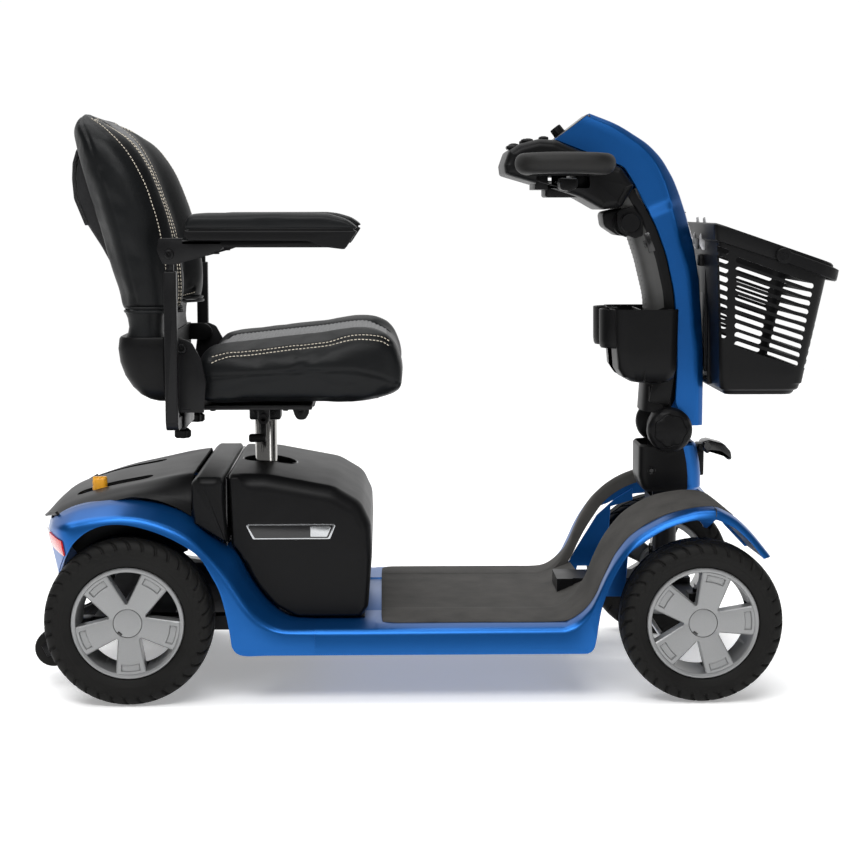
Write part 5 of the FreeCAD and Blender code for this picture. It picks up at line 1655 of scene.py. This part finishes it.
rings = np.array([spline(seat_ring(*row), 96, closed=True) for row in SEAT])
lofted = weave(rings, 64)
seat = Solid().grid([[tuple(p) for p in row] for row in lofted], around=True, ends=(True, True))
seat_cushion = stuffed(piece("seat_padding", seat, "seat", LEATHER,
                             ("seat_cushion",)), 6)
skin = Surface(seat_cushion)
seat_x = [row[0] for row in SEAT]


def seat_path(y, x0=-366, x1=-78, count=60, lift=0.0):
    """A line along the top of the seat, towards its front."""
    guides = [(x, y(x), float(np.interp(x, seat_x, [row[3] for row in SEAT])) + 4)
              for x in np.linspace(x0, x1, 10)]
    return on_surface(skin, guides, DOWN, count, lift)


def seat_edge(sign, base):
    return lambda x: sign * (base - 10.0 * max(0.0, (x + 140) / 80.0) ** 2)


top_seams = [seat_path(seat_edge(sign, base)) for sign in (1, -1) for base in (138, 204)]
for path in top_seams:
    skin.groove(path, 3.0, 4.0)
for sign in (1, -1):
    guides = [(row[0], sign * (row[4] + 20), row[2]) for row in SEAT]
    skin.groove(on_surface(skin, guides, (0, -sign, 0), 60), 2.2, 2.8)
skin = Surface(seat_cushion)
thread = Solid()
for sign in (1, -1):
    for base in (200, 208):
        stitches(thread, seat_path(seat_edge(sign, base), lift=0.3))
piece("seat_stitching", thread, "seat", THREAD, angle=60)
panel = Solid()
rows = []
for k, x in enumerate(np.arange(-360, -82, 7.0 / 4)):
    half = seat_edge(1, 132)(x)
    z = float(np.interp(x, seat_x, [row[3] for row in SEAT]))
    rows.append(((x, -half, z), (x, half, z), 0.5 - 0.5 * math.cos(math.pi * k / 2)))
panel.grid(list(ribbed_panel(skin, rows, DOWN)))
piece("seat_ribbed_panel", panel, "seat", RIBBED, angle=60)


# ------------------------------------------------------------------ armrests and seat hardware

ARM_Y = 265
PAD_TOP = anticlockwise(even(rounded([
    (-399.5, 766.5, 2), (-400, 775, 16), (-391, 789.8, 9), (-176, 790.3, 60), (-146, 782, 26),
    (-126, 768, 3), (-131, 766.5, 2)], 6), 130, closed=True))
PAD_BASE = anticlockwise(even(rounded([
    (-399, 764.5, 1), (-398.5, 754, 6), (-392, 748.5, 3), (-205, 747.5, 14), (-188, 739.5, 14),
    (-148, 734.5, 4), (-128, 764.5, 2)], 6), 120, closed=True))
CHEEK = rounded([(-440, 752, 3), (-443, 733, 10), (-434, 711, 6), (-414, 711, 6),
                 (-368, 724, 20), (-340, 735, 6), (-338, 748, 2), (-404, 748, 2),
                 (-404, 752, 1)], 6)
for name, side in (("left", 1), ("right", -1)):
    y0 = side * ARM_Y
    pad = Solid()
    top_rim = np.minimum(11, 0.45 * (PAD_TOP[:, 1] - 766))
    pad.prism(PAD_TOP, y0 - 24.5, y0 + 24.5, top_rim, top_rim, 7)
    pad_piece = piece(f"arm_cushion_{name}", pad, f"armrest_{name}", LEATHER,
                      (f"arm_pad_{name}",), angle=60)
    stuffed(pad_piece, 2, voxel=4.0)
    base = Solid()
    base_rim = safe_rim(PAD_BASE, 3)
    base.prism(PAD_BASE, y0 - 24, y0 + 24, base_rim, base_rim, 4)
    base.block((-345, -165), (y0 - 11, y0 + 11), (737.5, 749), 2, 2)
    base.block((-392, -134), (y0 - 21.5, y0 + 21.5), (763, 768), 1)
    for x in (-310, -175):
        base.bolt((x, y0, 748.4), (0, 0, -1), 5, 4)
    piece(f"arm_base_{name}", base, f"armrest_{name}", PLASTIC, angle=30)
    bracket = Solid()
    for across in (-10.9, 5.5):
        bracket.prism(CHEEK, y0 + across, y0 + across + 5.4, 0.8, 0.8, 2)
    bracket.block((-404, -200), (y0 - 10.9, y0 + 10.9), (742, 748), 1)
    for way in (1, -1):
        bracket.bolt((-424, y0 + way * 10.7, 727), (0, way, 0), 7.5, 5)
    for x, z in ((-378, 727), (-352, 733)):
        bracket.lathe([(0.01, 6), (3.5, 6), (4, 5), (4, -3), (6.5, -3.4), (6.5, -6), (0.01, -6)],
                      (x, y0, z), (0, 0, 1), sides=6)
    piece(f"arm_bracket_plates_{name}", bracket, f"armrest_{name}", STEEL,
          (f"arm_bracket_{name}",), angle=30)
    post = Solid()
    post.block((-434, -414), (y0 - 10, y0 + 10), (458, 700), 2.2, 3)
    post.block((-430, -418), (y0 - 4.8, y0 + 4.8), (690, 735), 2, 2)
    bend = []
    for t in np.linspace(0, 90, 10):
        a = math.radians(t)
        bend.append((-424, y0 - side * 10 + side * 10 * math.cos(a), 466 - 10 * math.sin(a)))
    bend = [(-424, y0, 480)] + bend + [(-424, side * 160, 456)]
    square = [(-0.97, -1), (0.97, -1), (1, -0.97), (1, 0.97), (0.97, 1), (-0.97, 1), (-1, 0.97),
              (-1, -0.97)]
    post.tube(bend, 9.8, shape=square)
    post.block((-432, -416), (min(side * 70, side * 245), max(side * 70, side * 245)),
               (448, 464), 2, 2)
    piece(f"arm_tube_{name}", post, f"arm_post_{name}", STEEL,
          (f"arm_post_{name}",), angle=30)

# steel under the seat: plate, receivers, hinge ears, front tab, clamp and knobs
under = Solid()
under.block((-400, -205), (-185, 185), (471, 478.5), 2)
under.block((-210, -96), (-150, 150), (486, 492), 2)
under.block((-440, -398), (-224, 224), (471, 478.5), 2)
for side in (1, -1):
    for z in ((442, 445.5), (468, 472)):
        under.block((-438, -410), (min(side * 60, side * 205), max(side * 60, side * 205)), z, 1)
    for x in ((-438, -434.8), (-413.2, -410)):
        under.block(x, (min(side * 60, side * 205), max(side * 60, side * 205)), (444, 470), 1)
    ear = rounded([(-434, 471), (-378, 471), (-374, 520, 20), (-381, 556, 20), (-396, 584, 12),
                   (-412, 591, 14), (-428, 584, 12), (-434, 540, 10)], 6)
    under.prism(ear, min(side * 218, side * 223.5), max(side * 218, side * 223.5), 1, 1, 2)
    under.bolt((-412, side * 223, 575), (0, side, 0), 8, 5)
tab = rounded([(-246, 471), (-213, 471), (-215, 452, 8), (-221, 441, 9), (-235, 441, 9),
               (-240, 450, 8)], 6)
under.prism(tab, -64, -58, 1, 1, 2)
for x0, x1, z0 in ((-330, -252, 462), (-345, -318, 466), (-268, -205, 464)):
    under.block((x0, x1), (-70, 70), (z0, 472), 2, 2)
under.block((-302, -282), (-62, -52), (438, 472), 2)
under.bolt((-229.5, -64, 452), (0, -1, 0), 4.5, 1.5)
for x in (-390, -370, -250, -222):
    under.bolt((x, -150, 471), (0, 0, -1), 5, 5)
piece("seat_steel", under, "seat", STEEL, ("seat_pan",), angle=30)
knobs = Solid()
for side in (1, -1):
    rows = []
    for k in range(60):
        t = 2 * math.pi * k / 60
        lobe = 1 + 0.12 * math.cos(5 * t)
        rows.append([(-424 + r * lobe * math.cos(t), side * 120 + r * lobe * math.sin(t), z)
                     for r, z in ((0.01, 418), (10, 418), (13, 421), (13, 430), (9, 434),
                                  (5, 436), (5, 443), (0.01, 443))])
    knobs.grid(rows, along=True)
piece("receiver_knobs", knobs, "seat", PLASTIC)
clamp = Solid()
clamp.block((-319, -265), (-27, 27), (437, 462.5), 4, 3)
clamp.lathe([(0.01, 462), (42, 462), (44, 463.5), (44, 469), (42, 470.5), (0.01, 470.5)],
            (-292, 0, 0), (0, 0, 1), 64)
for y in (-27, 27):
    clamp.bolt((-306, y, 450), (0, math.copysign(1, y), 0), 5.5, 5)
    clamp.bolt((-278, y, 450), (0, math.copysign(1, y), 0), 5.5, 5)
piece("swivel_clamp", clamp, "swivel_block", STEEL, ("swivel_block",), angle=30)
pull = Solid()
pull.lathe([(4.1, -4), (9, -4), (9, 4), (4.1, 4)], (-292, -70, 443), (0, 1, 0), 32, closed=True)
pull.block((-297, -287), (-74, -66), (412, 437), 2, 2)
pull.block((-317, -288), (-77, -63), (404, 418), 4, 3)
piece("swivel_pull", pull, "swivel_lever", PLASTIC, ("swivel_lever",), angle=30)
tube = Solid().lathe([(0.01, 180), (18.2, 180), (19, 181), (19, 455), (18.4, 456), (0.01, 456)],
                     (-292, 0, 0), (0, 0, 1), 72)
piece("seat_tube", tube, "seat_post", CHROME, ("seat_post",))

# anti-tip rollers and their forks
for name, side in (("left", 1), ("right", -1)):
    roller = Solid().lathe([(5.2, -10), (26, -10), (30, -8.5), (31, -6), (31, 6), (30, 8.5),
                            (26, 10), (5.2, 10)], (-648, side * 110, 59), (0, 1, 0), 72,
                           closed=True)
    piece(f"tip_roller_{name}", roller, f"anti_tip_roller_{name}", TYRE,
          (f"anti_tip_wheel_{name}",))
fork = Solid()
lean = Matrix.Rotation(math.radians(-26), 4, "Y")
for side in (1, -1):
    fork.block((-600, -580), (side * 110 - 18, side * 110 + 18), (88, 112), 3, 3)
    for cheek in (-15, 15):
        fork.block((0, 78), (-2.5, 2.5), (0, 22), 2.4, 2,
                   place=lambda p, q, r, y=side * 110 + cheek:
                   tuple(Vector((-657, y, 46)) + lean @ Vector((p, q, r))))
        fork.bolt((-648, side * 110 + cheek * 1.17, 59), (0, math.copysign(1, cheek), 0), 7, 4)
    fork.lathe([(0.01, -19), (5, -19), (5, 19), (0.01, 19)], (-648, side * 110, 59), (0, 1, 0), 24)
piece("tip_forks", fork, "chassis", STEEL, ("anti_tip_bracket",), angle=30)


# ------------------------------------------------------------------ basket

WALL = 3.0


def basket_ring(t, grow=0.0, lift=0.0):
    """The tub's outline at a share t of its height, as points (x, y, z)."""
    z_rear, z_front = 490 + 282 * t, 490 + 218 * t
    x_rear, x_front = 471 - 11 * t, 606 + 42 * t
    half = 158 + 14 * t
    corner = [(x_rear - grow, -half - grow, 14), (x_front + grow, -half - grow, 24),
              (x_front + grow, half + grow, 24), (x_rear - grow, half + grow, 14)]
    return [(x, y, z_rear + (z_front - z_rear) * (x - x_rear) / (x_front - x_rear) + lift)
            for x, y in even(rounded(corner, 8), 160, closed=True)]


def squeezed(ring, share, z):
    """A ring pulled in towards the middle of the basket's floor."""
    return [(540 + (x - 540) * (1 - share), y * (1 - share * 0.62), z) for x, y, _ in ring]


foot = basket_ring(0.0)
rows = [squeezed(foot, 0.999, 490), squeezed(foot, 0.3, 490), squeezed(foot, 0.16, 490.5),
        squeezed(foot, 0.125, 493), squeezed(foot, 0.10, 497), squeezed(foot, 0.05, 498.5),
        squeezed(foot, 0.02, 501), squeezed(basket_ring(0.02), 0.004, 508)]
rows += [basket_ring(t) for t in np.linspace(0.09, 0.985, 12)]
tub = Solid().grid(rows, around=True)
tub_piece = piece("basket_tub", tub, "basket", PLASTIC, ("basket",), angle=34,
                  modifiers=[("SOLIDIFY", {"thickness": WALL * MM, "offset": -1.0})])


def capsule(solid, a, b, width, way, reach):
    """A slot-shaped cutter from a to b, as tall as width, driven along a direction."""
    a, b, way = Vector(a), Vector(b), Vector(way)
    along = (b - a).normalized()
    up = way.cross(along).normalized()
    ring = []
    for centre, turn in ((a, math.pi / 2), (b, -math.pi / 2)):
        for k in range(9):
            t = turn + math.pi * k / 8
            ring.append(centre + along * (math.cos(t) * width / 2) + up * (math.sin(t) * width / 2))
    solid.grid([[tuple(p - way * reach) for p in ring], [tuple(p + way * reach) for p in ring]],
               around=True, ends=(True, True))


cutters = Solid()
ROWS = 10
for k in range(ROWS):
    t = k / (ROWS - 1)
    lower = Vector((494 + 2 * t, 0, 714 - 138 * t))
    upper = Vector((615 - 21 * t, 0, 672 - 129 * t))
    for side in (1, -1):
        capsule(cutters, (lower.x, side * 168, lower.z), (upper.x, side * 168, upper.z), 9.0,
                (0, 1, 0), 14)
        capsule(cutters, (474, side * 168, 728 - 138 * t), (461, side * 168, 733 - 138 * t), 8.5,
                (0, 1, 0), 14)
    x = 636 - 27 * t
    capsule(cutters, (x, -146, 668 - 130 * t), (x, 146, 668 - 130 * t), 8.5, (1, 0, 0), 14)
cut(tub_piece, cutters)

# rim band with a rolled top edge and a small step under it
band = Solid()
section = ((0.905, 3.2, 0), (0.906, 5.0, 0), (0.915, 5.6, 0), (0.985, 6.4, 0), (1.0, 5.8, -1),
           (1.006, 3.5, 0), (1.004, 0.5, 0), (0.995, -1.8, 0), (0.9, -2.4, 0))
band.grid([basket_ring(t, grow, lift) for t, grow, lift in section], around=True, along=True)
piece("basket_rim", band, "basket", PLASTIC, angle=34)
recess = Solid()
for y in (-58, 58):
    recess.block((465.2, 473), (y - 2, y + 2), (500, 740), 1.5, 2)
recess.block((466, 472), (-58, 58), (500, 508), 1)
piece("basket_recess", recess, "basket", PLASTIC)

# bail handle lying round the front, on two pivots
bail = Solid()
SLOPE_DOWN = Vector((186, 0, -66)).normalized()
turn = [(566, -184), (566 + 88 * SLOPE_DOWN.x, -184), (566 + 92 * SLOPE_DOWN.x, 0),
        (566 + 88 * SLOPE_DOWN.x, 184), (566, 184)]
line = even(rounded([(*turn[0],), (659, -184, 30), (659, 184, 30), (*turn[-1],)], 10,
                    closed=False), 120)
path = [(x, y, 721.5 + (x - 566) * SLOPE_DOWN.z / SLOPE_DOWN.x) for x, y in line]
rows = []
for k, (x, y, z) in enumerate(path):
    ahead = Vector(path[min(k + 1, len(path) - 1)]) - Vector(path[max(k - 1, 0)])
    out = Vector((ahead.y, -ahead.x, 0)).normalized()
    up = Vector((0.33, 0, 0.944)) if abs(ahead.x) > abs(ahead.y) else Vector((0.2, 0, 0.98))
    rows.append([tuple(Vector((x, y, z)) + out * a + up * b) for a, b in
                 ((-2.3, -8.5), (0, -10), (2.3, -8.5), (2.6, 0), (2.3, 8.5), (0, 10),
                  (-2.3, 8.5), (-2.6, 0))])
bail.grid(rows, around=True, ends=(True, True))
for side in (1, -1):
    bail.lathe([(0.01, 179.5), (12.5, 179.5), (13, 180.5), (13, 185.5), (12, 186.8), (7, 187.2),
                (6.2, 186), (0.01, 186)], (566, 0, 721.5), (0, side, 0), 48)
piece("basket_bail", bail, "basket_handle", PLASTIC, ("basket_handle",),
      angle=34)

# plate on the mast that carries the basket
holder = Solid()
holder.block((464.6, 467.8), (-42, 42), (520, 740), 1.4, 2)
holder.block((455, 465), (-20, 20), (700, 720), 2, 2)
holder.block((462.4, 465), (-20, 20), (528, 560), 1, 2)
for y in (-34, 34):
    holder.block((462.8, 467.8), (y - 2.5, y + 2.5), (528, 734), 1.2, 2)
    for z in (546, 588, 706, 728):
        holder.bolt((467.6, y, z), (1, 0, 0), 3.6, 2)
    holder.mat = 1
    holder.prism(rounded([(457, 728, 2), (464.8, 728), (464.8, 768, 2), (461, 785, 2),
                          (457.5, 783, 2), (458, 762, 4), (452, 752, 3), (452, 738, 3)], 5),
                 y - 1.5, y + 1.5, 0.5, 0.5, 2)
    holder.mat = 0
piece("basket_holder", holder, "tiller", (STEEL, ZINC), ("basket_bracket",), angle=30)
